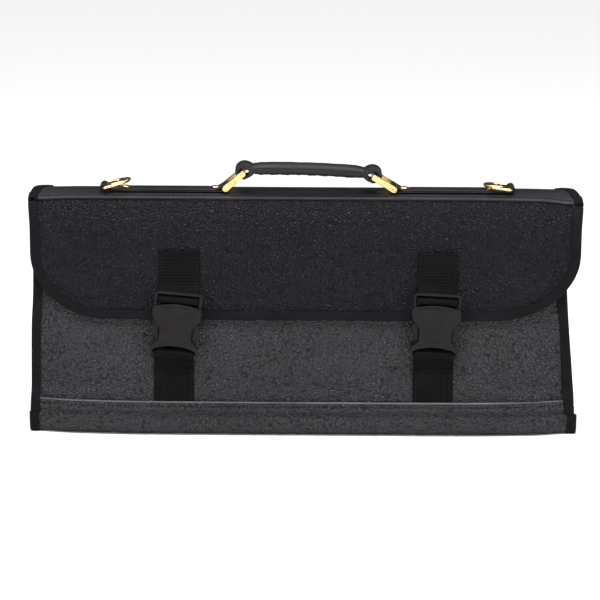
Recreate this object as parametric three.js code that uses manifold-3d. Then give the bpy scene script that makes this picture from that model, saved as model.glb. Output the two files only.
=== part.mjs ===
// A chef's knife roll in black leather, folded shut and standing on its foot.
// One long sheet of panels runs up the front, under the foot, up the back, over the top and down again as the flap.
// Its ends are open and bound with tape. Two webbing straps with side-release buckles hold the flap shut.
// Millimetres, +Z up, the front faces -Y, and the origin is under the middle of the flat foot.
import * as THREE from "three";
import { mergeVertices } from "three/addons/utils/BufferGeometryUtils.js";
import Module from "manifold-3d";

const wasm = await Module();
wasm.setup();

// Driving dimensions of the sheet
const WIDTH = 524;
const BODY_HEIGHT = 234.5;
const HALF_DEPTH = 34;
const BACK_HALF_DEPTH = 31;
const LEATHER = 2.4;
const GAP = 0.3;
const LAP = 9;
const JOGGLE = 3.5;

// Foot, top band and flap
const FOOT_CORNER = 20;
const FOOT_FLAT_SHARE = 0.5;
const FOOT_FACE = 3;
const FOOT_LIFT = 1.2;
const FRONT_TOP_DROP = 31;
const CROWN_DROP = 6;
const CREST_BACK = 6;
const SEAM_DEPTH = 28;
const BACK_SEAM_DEPTH = 25;
const BACK_CORNER = 13;
const TOP_DROOP = 6.5;
const SHOULDER = 37;
const SHOULDER_PULL = 12;
const FLAP_EASE = 1.5;
const FLAP_FLARE = 5;
const FLAP_DROP = 117;
const FLAP_CORNER_RISE = 61;
const FRONT_ROW_BIAS = 1.7;
const SEAM_HOLD = 14;

// Binding tape
const TAPE = 0.9;
const TAPE_WIDTH = 8;
const TAPE_GAP = 0.4;

// Webbing and buckles
const WEB = 1.6;
const WEB_WIDTH = 38;
const WEB_TOP_DROP = 52;
const WEB_SEWN = 30;
const WEB_FREE = 8;
const WEB_TAIL = 14;
const BUCKLE_TOP_DROP = 100.5;
const BUCKLE_LENGTH = 51.4;
const BUCKLE_THICKNESS = 9.6;
const BUCKLE_CROWN_RADIUS = 110;
const BUCKLE_STANDOFF = 4.6;
const BUCKLE_TILT_DEG = 3.5;
const BUCKLE_BEVEL = 0.8;
const SOCKET_HALF_WIDTH = 23.4;
const SOCKET_WALL = 1.7;
const SOCKET_CHEEK = 4;
const MOUTH_SHARE = 0.12;
const WINDOW_TOP_SHARE = 0.32;
const WINDOW_FOOT_SHARE = 0.72;
const SLOT_TOP_SHARE = 0.85;
const LOWER_BAR_SHARE = 0.94;
const FRAME_HALF_WIDTH = 22.4;
const FRAME_RISE = 10.6;
const FRAME_BAR = 2.2;
const FRAME_THICKNESS = 4.4;
const FRAME_BACK = 1.9;
const UPPER_BAR_RISE = 3;
const BAR_RADIUS = 1.7;
const WEB_SLOT_HALF = WEB_WIDTH / 2 + 0.9;

// Straps and hardware on the top band
const STRAP_WIDTH = 20;
const STRAP_LINE = -7;
const STRAP_THICKNESS = 2.8;
const STRAP_EYE_WALL = 1.4;
const PIN_RADIUS = 1.9;
const RUNNING_GAP = 0.4;
const RIVET_RADIUS = 4.5;
const RIVET_DOME = 1.5;
const RIVET_SHANK = 1.4;
const LEG_THICKNESS = 3;
const LEG_HALF_WIDTH = 3.1;
const LEG_CLEARANCE = 1.2;
const RING_LENGTH = 22;
const D_WIRE = 1.5;
const D_LEG = 8;
const D_REACH = 26.5;
const D_CLEARANCE = 2;

// Handle
const GRIP_HEIGHT = 11.6;
const GRIP_WIDTH = 19;
const GRIP_ARCH = 1.5;
const GRIP_RISE = 2.9;
const GRIP_END_SHARE = 0.75;
const LOOP_RADIUS = 7.8;
const LOOP_STRETCH = 1.2;
const LOOP_WALL = 3.4;
const LOOP_PLAY_ALONG = 0.6;
const LOOP_PLAY_UP = 0.75;

// How full the roll stands, section by section from its left end to its right one.
// at is a share of the half width; foot, belly and top are shares of the half depth;
// lift, droop and flare are shares of the foot's lift, the top's droop and the flap's flare.
const SECTIONS = [
  { at: -1.0, foot: 0.46, belly: 0.66, top: 0.86, lift: 1.0, droop: 0.5, flare: 0.6 },
  { at: -0.84, foot: 0.72, belly: 0.86, top: 0.92, lift: 0.3, droop: 0.06, flare: 0.2 },
  { at: -0.55, foot: 0.88, belly: 1.0, top: 0.94, lift: 0.0, droop: 0.0, flare: 0.0 },
  { at: 0.0, foot: 0.9, belly: 1.03, top: 0.95, lift: 0.0, droop: 0.0, flare: 0.0 },
  { at: 0.55, foot: 0.9, belly: 1.02, top: 0.94, lift: 0.0, droop: 0.0, flare: 0.0 },
  { at: 0.84, foot: 0.76, belly: 0.88, top: 0.92, lift: 0.0, droop: 0.2, flare: 0.4 },
  { at: 1.0, foot: 0.46, belly: 0.66, top: 0.86, lift: 0.5, droop: 1.0, flare: 1.0 },
];

// How far each end reaches, as a share of the half width, along the sheet:
// 0 is the level of the crest on the front, 1 the foot, 2 the crest's level on the back,
// 3 the front edge of the top band and 4 the flap's shoulder.
const ENDS = [
  { path: 0.0, left: 0.972, right: 0.932 },
  { path: 0.4, left: 0.977, right: 0.94 },
  { path: 0.55, left: 0.984, right: 0.955 },
  { path: 0.83, left: 0.989, right: 0.971 },
  { path: 1.0, left: 0.998, right: 0.992 },
  { path: 1.5, left: 0.972, right: 0.962 },
  { path: 2.0, left: 0.945, right: 0.935 },
  { path: 2.45, left: 0.98, right: 0.975 },
  { path: 3.0, left: 0.99, right: 0.995 },
  { path: 4.0, left: 0.983, right: 0.988 },
];

// Dents and bulges of the walls. across is their middle as a share of the half width and up as a share of the
// body's height. wide and tall are how far they spread, in the same shares, before a turn in degrees.
// out is how far they stand out, as a share of the half depth, and is negative for a dent.
const DENTS = {
  front: [
    { across: -0.84, up: 0.2, wide: 0.15, tall: 0.045, turn: 6, out: -0.075 },
    { across: -0.8, up: 0.3, wide: 0.17, tall: 0.06, turn: 35, out: -0.04 },
    { across: -0.93, up: 0.29, wide: 0.1, tall: 0.06, turn: 40, out: 0.03 },
    { across: -0.8, up: 0.43, wide: 0.14, tall: 0.07, turn: -20, out: 0.03 },
    { across: -0.02, up: 0.34, wide: 0.27, tall: 0.11, turn: 0, out: 0.035 },
    { across: 0.73, up: 0.43, wide: 0.11, tall: 0.08, turn: 10, out: 0.03 },
    { across: 0.88, up: 0.2, wide: 0.13, tall: 0.045, turn: -8, out: -0.075 },
    { across: 0.94, up: 0.31, wide: 0.13, tall: 0.05, turn: 62, out: -0.05 },
  ],
  flap: [
    { across: -0.88, up: 0.78, wide: 0.1, tall: 0.05, turn: -25, out: 0.03 },
    { across: -0.76, up: 0.66, wide: 0.14, tall: 0.07, turn: 8, out: 0.02 },
    { across: 0.02, up: 0.68, wide: 0.22, tall: 0.1, turn: 0, out: 0.025 },
    { across: 0.74, up: 0.6, wide: 0.12, tall: 0.06, turn: 4, out: 0.035 },
    { across: 0.9, up: 0.76, wide: 0.06, tall: 0.05, turn: 55, out: -0.03 },
  ],
  back: [
    { across: -0.5, up: 0.5, wide: 0.35, tall: 0.18, turn: 10, out: -0.05 },
    { across: 0.55, up: 0.4, wide: 0.3, tall: 0.16, turn: -8, out: -0.055 },
    { across: 0.0, up: 0.62, wide: 0.4, tall: 0.14, turn: 3, out: 0.04 },
  ],
};

// How far in from the flap's ends its rounded corners start, as a share of the half width
const FLAP_CORNERS = { left: 0.265, right: 0.31 };

// Where the webbing, the D rings' bars and the handle rings' pins sit, as shares of the half width,
// and how far the rings lean, in degrees
const SIDES = [
  { name: "left", sign: -1, flapWeb: -0.45, footWeb: -0.471, dBar: -0.725, dTilt: 15, handlePin: -0.287, ringLean: 41 },
  { name: "right", sign: 1, flapWeb: 0.478, footWeb: 0.466, dBar: 0.742, dTilt: 7, handlePin: 0.32, ringLean: 31 },
].map((side) => ({
  ...side,
  flapWeb: (side.flapWeb * WIDTH) / 2,
  footWeb: (side.footWeb * WIDTH) / 2,
  dBar: (side.dBar * WIDTH) / 2,
  handlePin: (side.handlePin * WIDTH) / 2,
}));
const RIVET_FROM_D = 20.5;
const RIVET_FROM_HANDLE = 9.5;

const halfWidth = WIDTH / 2;
const lapOffset = LEATHER + GAP;
const radians = THREE.MathUtils.degToRad;

const leather = { color: 0x17161a, roughness: 0.5, metalness: 0 };
const smoothLeather = { color: 0x1b1a1e, roughness: 0.6, metalness: 0 };
const tape = { color: 0x1a191c, roughness: 0.85, metalness: 0 };
const webbing = { color: 0x141414, roughness: 0.9, metalness: 0 };
const plastic = { color: 0x2a262a, roughness: 0.55, metalness: 0 };
const brass = { color: 0xd9a24e, roughness: 0.25, metalness: 1 };

// Value of a column between the rows of a table, by a monotone cubic that never overshoots
function fromTable(rows, place, column, at) {
  const last = rows.length - 1;
  const x = THREE.MathUtils.clamp(at, rows[0][place], rows[last][place]);
  let i = 0;
  while (i < last - 1 && x > rows[i + 1][place]) i++;
  const span = (k) => rows[k + 1][place] - rows[k][place];
  const slope = (k) => (rows[k + 1][column] - rows[k][column]) / span(k);
  const tangent = (k) => {
    if (k === 0 || k === last) return 0;
    const before = slope(k - 1);
    const after = slope(k);
    return before * after <= 0 ? 0 : (2 * before * after) / (before + after);
  };
  const t = (x - rows[i][place]) / span(i);
  const rise = 3 * t * t - 2 * t * t * t;
  return (
    rows[i][column] * (1 - rise) +
    rows[i + 1][column] * rise +
    span(i) * (tangent(i) * (t - 2 * t * t + t * t * t) + tangent(i + 1) * (t * t * t - t * t))
  );
}

function sectionAt(u) {
  const columns = ["foot", "belly", "top", "lift", "droop", "flare"];
  return { at: u, ...Object.fromEntries(columns.map((column) => [column, fromTable(SECTIONS, "at", column, u)])) };
}

// Share of the half depth at a height: it swells from the foot to the belly and draws in again to the top
function depthShare(section, z) {
  const belly = BODY_HEIGHT / 2;
  if (z < belly) {
    const t = Math.max(0, (z - FOOT_CORNER) / (belly - FOOT_CORNER));
    return section.foot + (section.belly - section.foot) * Math.sin((t * Math.PI) / 2);
  }
  const t = Math.min(1, (z - belly) / (BODY_HEIGHT - belly));
  return section.top + (section.belly - section.top) * Math.cos((t * Math.PI) / 2);
}

// How far a wall's dents and bulges move it out at a height of a section. The foot band's seam holds it still.
function pressed(dents, section, z) {
  const free = THREE.MathUtils.smoothstep(z, footTop, footTop + SEAM_HOLD);
  return dents.reduce((sum, dent) => {
    const turn = radians(dent.turn);
    const across = (section.at - dent.across) * halfWidth;
    const up = z - dent.up * BODY_HEIGHT;
    const along = (across * Math.cos(turn) + up * Math.sin(turn)) / (dent.wide * halfWidth);
    const over = (up * Math.cos(turn) - across * Math.sin(turn)) / (dent.tall * BODY_HEIGHT);
    return sum + free * dent.out * HALF_DEPTH * Math.exp(-along * along - over * over);
  }, 0);
}

const frontDepth = (section, z) => HALF_DEPTH * depthShare(section, z) + pressed(DENTS.front, section, z);
const backDepth = (section, z) => BACK_HALF_DEPTH * depthShare(section, z) + pressed(DENTS.back, section, z);
const flapDepth = (section, z) =>
  HALF_DEPTH * depthShare(section, z) +
  FLAP_EASE +
  LEATHER +
  FLAP_FLARE * section.flare +
  pressed(DENTS.flap, section, z);
const crownDrop = (section) => (CROWN_DROP + TOP_DROOP * section.droop) / (SEAM_DEPTH + CREST_BACK) ** 2;
const crownHeight = (section, y) => BODY_HEIGHT - crownDrop(section) * (y - CREST_BACK) ** 2;
const crownSlope = (section, y) => -2 * crownDrop(section) * (y - CREST_BACK);

// Height of the flap's lower edge at a share of the half width, with the corners' quarter ellipses
function flapEdgeHeight(u, grow = 0) {
  const low = BODY_HEIGHT - FLAP_DROP - grow;
  const run = u < 0 ? FLAP_CORNERS.left : FLAP_CORNERS.right;
  const t = Math.min(1, Math.max(0, (Math.abs(u) - (1 - run)) / run));
  return low + FLAP_CORNER_RISE * (1 - Math.sqrt(1 - t * t));
}

const reach = (u, path) => halfWidth * fromTable(ENDS, "path", u < 0 ? "left" : "right", path);

// Named heights of the seams, from the floor
const footTop = FOOT_CORNER + FOOT_FACE + JOGGLE + LAP;
const frontTop = BODY_HEIGHT - FRONT_TOP_DROP;
const bandBack = BODY_HEIGHT - BACK_CORNER - JOGGLE - LAP;
const shoulderHeight = BODY_HEIGHT - SHOULDER;

// The sheet's outer profile in the YZ plane at one section, as rows from the front panel's top edge to the flap's edge.
// Each row has a name where a panel starts or ends, its place on the sheet's path and its point.
function sheetRows(u) {
  const s = sectionAt(u);
  const rows = [];
  const add = (y, z, path, name) => rows.push({ y, z, path, name });
  const front = (z, name) => add(-frontDepth(s, z), z, 1 - z / BODY_HEIGHT, name);
  const back = (z, name) => add(backDepth(s, z), z, 1 + z / BODY_HEIGHT, name);
  const lift = FOOT_LIFT * s.lift;

  const wallSteps = 4;
  const frontSteps = 6;
  const clear = footTop + JOGGLE;
  for (let i = 0; i <= frontSteps; i++)
    front(clear + (frontTop - clear) * (1 - i / frontSteps) ** FRONT_ROW_BIAS, i === 0 ? "frontTop" : undefined);
  front(footTop, "footFront");
  front(footTop - LAP, "frontLow");
  front(footTop - LAP - JOGGLE, "footFrontJoggle");

  const cornerSteps = 4;
  const corner = (side, depth, i) => {
    const angle = (i / cornerSteps) * (Math.PI / 2);
    const flat = FOOT_FLAT_SHARE * depth;
    const y = flat + (depth - flat) * Math.sin(angle);
    add(side * y, FOOT_CORNER - (FOOT_CORNER - lift) * Math.cos(angle), 1, i === 0 ? "flat" : undefined);
  };
  for (let i = cornerSteps; i >= 0; i--) corner(-1, frontDepth(s, FOOT_CORNER), i);
  for (let i = 0; i <= cornerSteps; i++) corner(1, backDepth(s, FOOT_CORNER), i);

  back(footTop - LAP - JOGGLE, "footBackJoggle");
  back(footTop - LAP, "backLow");
  back(footTop, "footBack");
  for (let i = 0; i <= wallSteps; i++) back(clear + ((bandBack - JOGGLE - clear) * i) / wallSteps);
  back(bandBack, "bandBack");
  const backTop = bandBack + LAP;
  add(backDepth(s, backTop), backTop, 2 - LAP / BODY_HEIGHT, "backTop");
  const bend = backTop + JOGGLE;
  const seamBack = BACK_SEAM_DEPTH * s.top;
  const pull = BACK_CORNER / 2;
  const backCurve = new THREE.CubicBezierCurve(
    new THREE.Vector2(backDepth(s, bend), bend),
    new THREE.Vector2(backDepth(s, bend), bend + pull),
    new THREE.Vector2(seamBack + pull / 2, crownHeight(s, seamBack) + (crownSlope(s, seamBack) * pull) / 2),
    new THREE.Vector2(seamBack, crownHeight(s, seamBack)),
  );
  const bendSteps = 4;
  for (let i = 0; i <= bendSteps; i++) {
    const p = backCurve.getPoint(i / bendSteps);
    add(p.x, p.y, 2 + (0.1 * i) / bendSteps, i === 0 ? "bandBackJoggle" : undefined);
  }
  const crown = (share, name) => {
    const y = -share * s.top;
    add(y, crownHeight(s, y), 2.1 + (0.9 * (share + BACK_SEAM_DEPTH)) / (SEAM_DEPTH + BACK_SEAM_DEPTH), name);
  };
  crown(-BACK_SEAM_DEPTH / 2);
  crown(0, "crest");
  crown(SEAM_DEPTH - LAP - JOGGLE, "bandFrontJoggle");
  crown(SEAM_DEPTH - LAP, "flapTop");
  crown(SEAM_DEPTH, "bandFront");

  const start = rows.at(-1);
  const end = new THREE.Vector2(-flapDepth(s, shoulderHeight), shoulderHeight);
  const flapCurve = new THREE.CubicBezierCurve(
    new THREE.Vector2(start.y, start.z),
    new THREE.Vector2(start.y - SHOULDER_PULL / 2, start.z - (crownSlope(s, start.y) * SHOULDER_PULL) / 2),
    new THREE.Vector2(end.x, end.y + SHOULDER_PULL),
    end,
  );
  for (const t of [0.1, 0.26, 0.44, 0.7, 1]) {
    const p = flapCurve.getPoint(t);
    add(p.x, p.y, 3 + t, t === 1 ? "shoulder" : undefined);
  }
  const flapSteps = 4;
  const low = Math.min(flapEdgeHeight(u), end.y - LEATHER);
  for (let i = 1; i <= flapSteps; i++) {
    const z = end.y + ((low - end.y) * i) / flapSteps;
    add(-flapDepth(s, z), z, 4, i === flapSteps ? "flapLow" : undefined);
  }
  return withNormals(rows, u);
}

// Adds each row's outward normal in the YZ plane and its place along X
function withNormals(rows, u) {
  return rows.map((row, i) => {
    const before = rows[Math.max(0, i - 1)];
    const after = rows[Math.min(rows.length - 1, i + 1)];
    const along = new THREE.Vector2(after.y - before.y, after.z - before.z).normalize();
    return { ...row, x: u * reach(u, row.path), ny: along.y, nz: -along.x };
  });
}

const raised = (row, offset) => new THREE.Vector3(row.x, row.y + row.ny * offset, row.z + row.nz * offset);

// Sections of the loft as shares of the half width: close together round the flap's corners and at the binding
const bindingShare = 1 - TAPE_WIDTH / halfWidth;
function stationsOf(corner) {
  const cornerShares = [0, 20, 38, 54].map((degrees) => 1 - corner * (1 - Math.sin(radians(degrees))));
  return [0.16, 0.42, ...cornerShares, bindingShare, 1].sort((a, b) => a - b);
}
const stations = [...stationsOf(FLAP_CORNERS.left).reverse().map((u) => -u), ...stationsOf(FLAP_CORNERS.right)];
const sheet = stations.map(sheetRows);
const rowIndex = (name, fromEnd = false) =>
  fromEnd ? sheet[0].findLastIndex((row) => row.name === name) : sheet[0].findIndex((row) => row.name === name);

// A closed body through rings of points, each ring a loop with the same even number of points.
// The first half of a ring faces its second half, so its ends close as strips between the two.
function loft(rings, joined = false) {
  const count = rings[0].length;
  const index = [];
  const spans = joined ? rings.length : rings.length - 1;
  for (let i = 0; i < spans; i++)
    for (let j = 0; j < count; j++) {
      const here = i * count;
      const next = ((i + 1) % rings.length) * count;
      const k = (j + 1) % count;
      index.push(here + j, here + k, next + k, here + j, next + k, next + j);
    }
  if (!joined) {
    const end = (rings.length - 1) * count;
    for (let a = 0; a < count / 2 - 1; a++) {
      const [b, c, d] = [a + 1, count - 2 - a, count - 1 - a];
      index.push(a, c, b, a, d, c, end + a, end + b, end + c, end + a, end + c, end + d);
    }
  }
  const points = rings.flat();
  let volume = 0;
  for (let i = 0; i < index.length; i += 3)
    volume += points[index[i]].dot(new THREE.Vector3().crossVectors(points[index[i + 1]], points[index[i + 2]]));
  if (volume < 0) index.reverse();
  const positions = points.flatMap((p) => p.toArray());
  const geometry = new THREE.BufferGeometry();
  geometry.setAttribute("position", new THREE.Float32BufferAttribute(positions, 3));
  geometry.setIndex(index);
  return geometry;
}

// A panel of the sheet between two rows, whose outer and inner offsets may change from row to row
function panel(first, last, outer, inner) {
  const rings = sheet.map((rows) => {
    const part = rows.slice(first, last + 1);
    const outside = part.map((row, i) => raised(row, outer(first + i)));
    const inside = part.map((row, i) => raised(row, inner(first + i)));
    return [...outside, ...inside.reverse()];
  });
  return loft(rings);
}

// A band whose two long edges lap over the outside of its neighbours
function lappedBand(edgeA, stepA, stepB, edgeB) {
  const over = (i) => i < stepA || i > stepB;
  return panel(
    edgeA,
    edgeB,
    (i) => (over(i) ? lapOffset : 0),
    (i) => (over(i) ? GAP : -LEATHER),
  );
}

const plain = (first, last) =>
  panel(
    first,
    last,
    () => 0,
    () => -LEATHER,
  );

const rows = {
  frontTop: rowIndex("frontTop"),
  footFront: rowIndex("footFront"),
  frontLow: rowIndex("frontLow"),
  footFrontJoggle: rowIndex("footFrontJoggle"),
  footBackJoggle: rowIndex("footBackJoggle"),
  backLow: rowIndex("backLow"),
  footBack: rowIndex("footBack"),
  bandBack: rowIndex("bandBack"),
  backTop: rowIndex("backTop"),
  bandBackJoggle: rowIndex("bandBackJoggle"),
  bandFrontJoggle: rowIndex("bandFrontJoggle"),
  flapTop: rowIndex("flapTop"),
  bandFront: rowIndex("bandFront"),
  flapLow: rowIndex("flapLow"),
};

const model = new THREE.Group();
function addPiece(name, geometry, finish) {
  const mesh = new THREE.Mesh(geometry, new THREE.MeshStandardMaterial(finish));
  mesh.name = name;
  model.add(mesh);
  return mesh;
}

// Solids for the joins and cuts
function solidOf(geometry) {
  const bare = geometry.clone();
  bare.deleteAttribute("normal");
  bare.deleteAttribute("uv");
  const merged = mergeVertices(bare);
  return new wasm.Manifold(
    new wasm.Mesh({
      numProp: 3,
      vertProperties: new Float32Array(merged.attributes.position.array),
      triVerts: new Uint32Array(merged.index.array),
    }),
  );
}

function geometryOf(solid) {
  const mesh = solid.getMesh();
  const geometry = new THREE.BufferGeometry();
  geometry.setAttribute("position", new THREE.BufferAttribute(mesh.vertProperties, 3));
  geometry.setIndex([...mesh.triVerts]);
  return geometry;
}

const join = (...geometries) => geometries.map(solidOf).reduce((a, b) => a.add(b));
const box = (x0, x1, y0, y1, z0, z1) =>
  new THREE.BoxGeometry(x1 - x0, y1 - y0, z1 - z0).translate((x0 + x1) / 2, (y0 + y1) / 2, (z0 + z1) / 2);
const rod = (radius, length, sides = 16) => new THREE.CylinderGeometry(radius, radius, length, sides);

function extruded(points, depth, options = {}) {
  const shape = new THREE.Shape(points.map(([x, y]) => new THREE.Vector2(x, y)));
  return new THREE.ExtrudeGeometry(shape, { depth, bevelEnabled: false, ...options });
}

// The point that lies a distance past a second point, on the line from the first one
const beyond = (from, to, distance) => to.clone().addScaledVector(to.clone().sub(from).normalize(), distance);

// Section of the tape round an edge, from its inner leg round the edge to its outer leg and back inside.
// edge gives a point past the edge and inward one on the tape's own edge, both at an offset from the outer face.
function channel(edge, inward, over = 0) {
  const faceOut = over + TAPE_GAP;
  const faceIn = -LEATHER - TAPE_GAP;
  return [
    inward(faceIn - TAPE),
    edge(faceIn - TAPE, TAPE_GAP + TAPE),
    edge(faceOut + TAPE, TAPE_GAP + TAPE),
    inward(faceOut + TAPE),
    inward(faceOut),
    edge(faceOut, TAPE_GAP),
    edge(faceIn, TAPE_GAP),
    inward(faceIn),
  ];
}

// Tape folded round the end of the sheet from the front panel's top edge to the front edge of the top band
function endBinding(side) {
  const end = side < 0 ? sheet[0] : sheet.at(-1);
  const inner = sheet[stations.indexOf(side * bindingShare)];
  const lapped = (i) =>
    (i >= rows.footFront && i <= rows.frontLow) ||
    (i >= rows.backLow && i <= rows.footBack) ||
    (i >= rows.bandBack && i <= rows.backTop) ||
    (i >= rows.flapTop && i <= rows.bandFront);
  const rings = [];
  for (let i = rows.frontTop; i <= rows.bandFront; i++) {
    const over = lapped(i) ? lapOffset : 0;
    const edge = (offset, out) => beyond(raised(inner[i], offset), raised(end[i], offset), out);
    const ring = channel(edge, (offset) => raised(inner[i], offset), over);
    rings.push(side < 0 ? ring : ring.reverse());
  }
  return loft(rings);
}

// A point of the flap's outer face at a place along X and a height below the shoulder
function flapFace(x, z, offset) {
  const u = x / reach(x, 4);
  const s = sectionAt(THREE.MathUtils.clamp(u, -1, 1));
  return new THREE.Vector3(x, -flapDepth(s, z) - offset, z);
}

// Tape folded round the flap's two sides, its rounded corners and its lower edge
function flapBinding() {
  const low = BODY_HEIGHT - FLAP_DROP;
  const shoulder = rowIndex("shoulder");
  const sideRings = (side) => {
    const end = side < 0 ? sheet[0] : sheet.at(-1);
    const inner = sheet[stations.indexOf(side * bindingShare)];
    const rings = [];
    for (let i = rows.bandFront + 1; i <= shoulder; i++)
      rings.push(
        channel(
          (offset, out) => beyond(raised(inner[i], offset), raised(end[i], offset), out),
          (offset) => raised(inner[i], offset),
        ),
      );
    return rings;
  };
  // Round one corner, from the flap's side to its lower edge
  const cornerRings = (side) => {
    const half = reach(side, 4);
    const run = (side < 0 ? FLAP_CORNERS.left : FLAP_CORNERS.right) * half;
    const steps = 9;
    return Array.from({ length: steps + 1 }, (_, i) => {
      const angle = (i / steps) * (Math.PI / 2);
      const out = new THREE.Vector2(FLAP_CORNER_RISE * Math.cos(angle), -run * Math.sin(angle)).normalize();
      const x = half - run + run * Math.cos(angle);
      const z = low + FLAP_CORNER_RISE * (1 - Math.sin(angle));
      const at = (offset, outward) => flapFace(side * (x + out.x * outward), z + out.y * outward, offset);
      return channel(at, (offset) => at(offset, -TAPE_WIDTH));
    });
  };
  const lowRing = (u) => {
    const at = (offset, outward) => flapFace(u * reach(u, 4), low - outward, offset);
    return channel(at, (offset) => at(offset, -TAPE_WIDTH));
  };
  return loft([
    ...sideRings(-1),
    ...cornerRings(-1),
    ...[-0.42, -0.16, 0.16, 0.42].map(lowRing),
    ...cornerRings(1).reverse(),
    ...sideRings(1).reverse(),
  ]);
}

addPiece("front_panel", plain(rows.frontTop, rows.frontLow), leather);
addPiece("foot_band", lappedBand(rows.footFront, rows.footFrontJoggle, rows.footBackJoggle, rows.footBack), leather);
addPiece("back_panel", plain(rows.backLow, rows.backTop), leather);
addPiece(
  "top_band",
  lappedBand(rows.bandBack, rows.bandBackJoggle, rows.bandFrontJoggle, rows.bandFront),
  smoothLeather,
);
addPiece("flap", plain(rows.flapTop, rows.flapLow), leather);
addPiece("end_binding_left", endBinding(-1), tape);
addPiece("end_binding_right", endBinding(1), tape);
addPiece("flap_binding", flapBinding(), tape);

// Straps on the top band, with an eye at each end for the ring that it holds
const strapBase = BODY_HEIGHT + GAP;
const eyeRadius = PIN_RADIUS + RUNNING_GAP;
const eyeOuter = eyeRadius + STRAP_EYE_WALL;
const pinHeight = strapBase + eyeOuter;
const strapTop = strapBase + STRAP_THICKNESS;
const legInside = STRAP_WIDTH / 2 + LEG_CLEARANCE;

function strap(side) {
  const [from, to] = [side.dBar, side.handlePin].sort((a, b) => a - b);
  const body = join(
    box(from, to, -STRAP_WIDTH / 2, STRAP_WIDTH / 2, strapBase, strapTop),
    rod(eyeOuter, STRAP_WIDTH).translate(from, 0, pinHeight),
    rod(eyeOuter, STRAP_WIDTH).translate(to, 0, pinHeight),
  );
  const cuts = [
    rod(eyeRadius, STRAP_WIDTH + 2).translate(from, 0, pinHeight),
    rod(eyeRadius, STRAP_WIDTH + 2).translate(to, 0, pinHeight),
    ...rivetPlaces(side).map((x) =>
      rod(RIVET_SHANK + GAP, STRAP_THICKNESS * 4)
        .rotateX(Math.PI / 2)
        .translate(x, 0, strapTop),
    ),
  ].map(solidOf);
  return geometryOf(cuts.reduce((made, cut) => made.subtract(cut), body));
}

const rivetPlaces = (side) => [side.dBar - side.sign * RIVET_FROM_D, side.handlePin + side.sign * RIVET_FROM_HANDLE];

// A domed head on a shank that passes through the strap
function rivet() {
  const profile = [[0, -STRAP_THICKNESS], [RIVET_SHANK, -STRAP_THICKNESS], [RIVET_SHANK, GAP], [RIVET_RADIUS, GAP]];
  const domeSteps = 3;
  for (let i = 1; i <= domeSteps; i++) {
    const angle = (i / domeSteps) * (Math.PI / 2);
    const radius = i === domeSteps ? 0 : RIVET_RADIUS * Math.cos(angle);
    profile.push([radius, GAP + 0.4 + RIVET_DOME * Math.sin(angle)]);
  }
  return new THREE.LatheGeometry(
    profile.map(([x, y]) => new THREE.Vector2(x, y)),
    16,
  ).rotateX(Math.PI / 2);
}

// Handle ring: two flat legs joined by a pin through the strap's eye and a bar in the handle's loop
function handleRing() {
  const outline = [];
  const steps = 8;
  for (let i = 0; i <= steps; i++) {
    const angle = Math.PI / 2 + (i / steps) * Math.PI;
    outline.push([LEG_HALF_WIDTH * Math.cos(angle), LEG_HALF_WIDTH * Math.sin(angle)]);
  }
  const top = RING_LENGTH + LEG_HALF_WIDTH * 0.8;
  const shoulder = LEG_HALF_WIDTH * 0.9;
  outline.push([top, -shoulder], [top, shoulder]);
  const leg = () => extruded(outline, LEG_THICKNESS).rotateX(Math.PI / 2);
  const span = 2 * legInside + LEG_THICKNESS;
  return geometryOf(
    join(
      leg().translate(0, -legInside, 0),
      leg().translate(0, legInside + LEG_THICKNESS, 0),
      rod(PIN_RADIUS, span, 12),
      rod(PIN_RADIUS, span, 12).translate(RING_LENGTH, 0, 0),
    ),
  );
}

// D ring of round wire: a straight bar on its swivel axis, two short legs and a bow
function dRing() {
  const half = STRAP_WIDTH / 2 + D_CLEARANCE + D_WIRE;
  const bow = D_REACH - D_WIRE - D_LEG;
  const bend = 2.5;
  const path = [];
  const arc = (cx, cy, rx, ry, from, to, steps) => {
    for (let i = 0; i <= steps; i++) {
      const angle = radians(from + ((to - from) * i) / steps);
      path.push(new THREE.Vector2(cx + rx * Math.cos(angle), cy + ry * Math.sin(angle)));
    }
  };
  arc(bend, bend - half, bend, bend, 180, 270, 3);
  arc(D_LEG, 0, bow, half, -90, 90, 14);
  arc(bend, half - bend, bend, bend, 90, 180, 3);
  const sides = 10;
  const rings = path.map((p, i) => {
    const before = path[(i - 1 + path.length) % path.length];
    const after = path[(i + 1) % path.length];
    const along = after.clone().sub(before).normalize();
    const out = new THREE.Vector3(along.y, -along.x, 0);
    return Array.from({ length: sides }, (_, j) => {
      const angle = (j / sides) * 2 * Math.PI;
      return new THREE.Vector3(p.x, p.y, 0)
        .addScaledVector(out, D_WIRE * Math.cos(angle))
        .add(new THREE.Vector3(0, 0, D_WIRE * Math.sin(angle)));
    });
  });
  return loft(rings, true);
}

for (const side of SIDES) {
  const inward = side.sign < 0 ? 0 : Math.PI;
  addPiece(`top_strap_${side.name}`, strap(side), smoothLeather).position.y = STRAP_LINE;
  rivetPlaces(side).forEach((x, i) => {
    const head = addPiece(`rivet_${side.name}_${i ? "inner" : "outer"}`, rivet(), brass);
    head.position.set(x, STRAP_LINE, strapTop);
  });
  const ring = addPiece(`handle_ring_${side.name}`, handleRing(), brass);
  ring.position.set(side.handlePin, STRAP_LINE, pinHeight);
  ring.rotation.set(0, -radians(side.ringLean), inward, "ZYX");
  const dee = addPiece(`d_ring_${side.name}`, dRing(), brass);
  dee.position.set(side.dBar, STRAP_LINE, pinHeight);
  dee.rotation.set(0, -radians(side.dTilt), inward, "ZYX");
}

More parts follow.
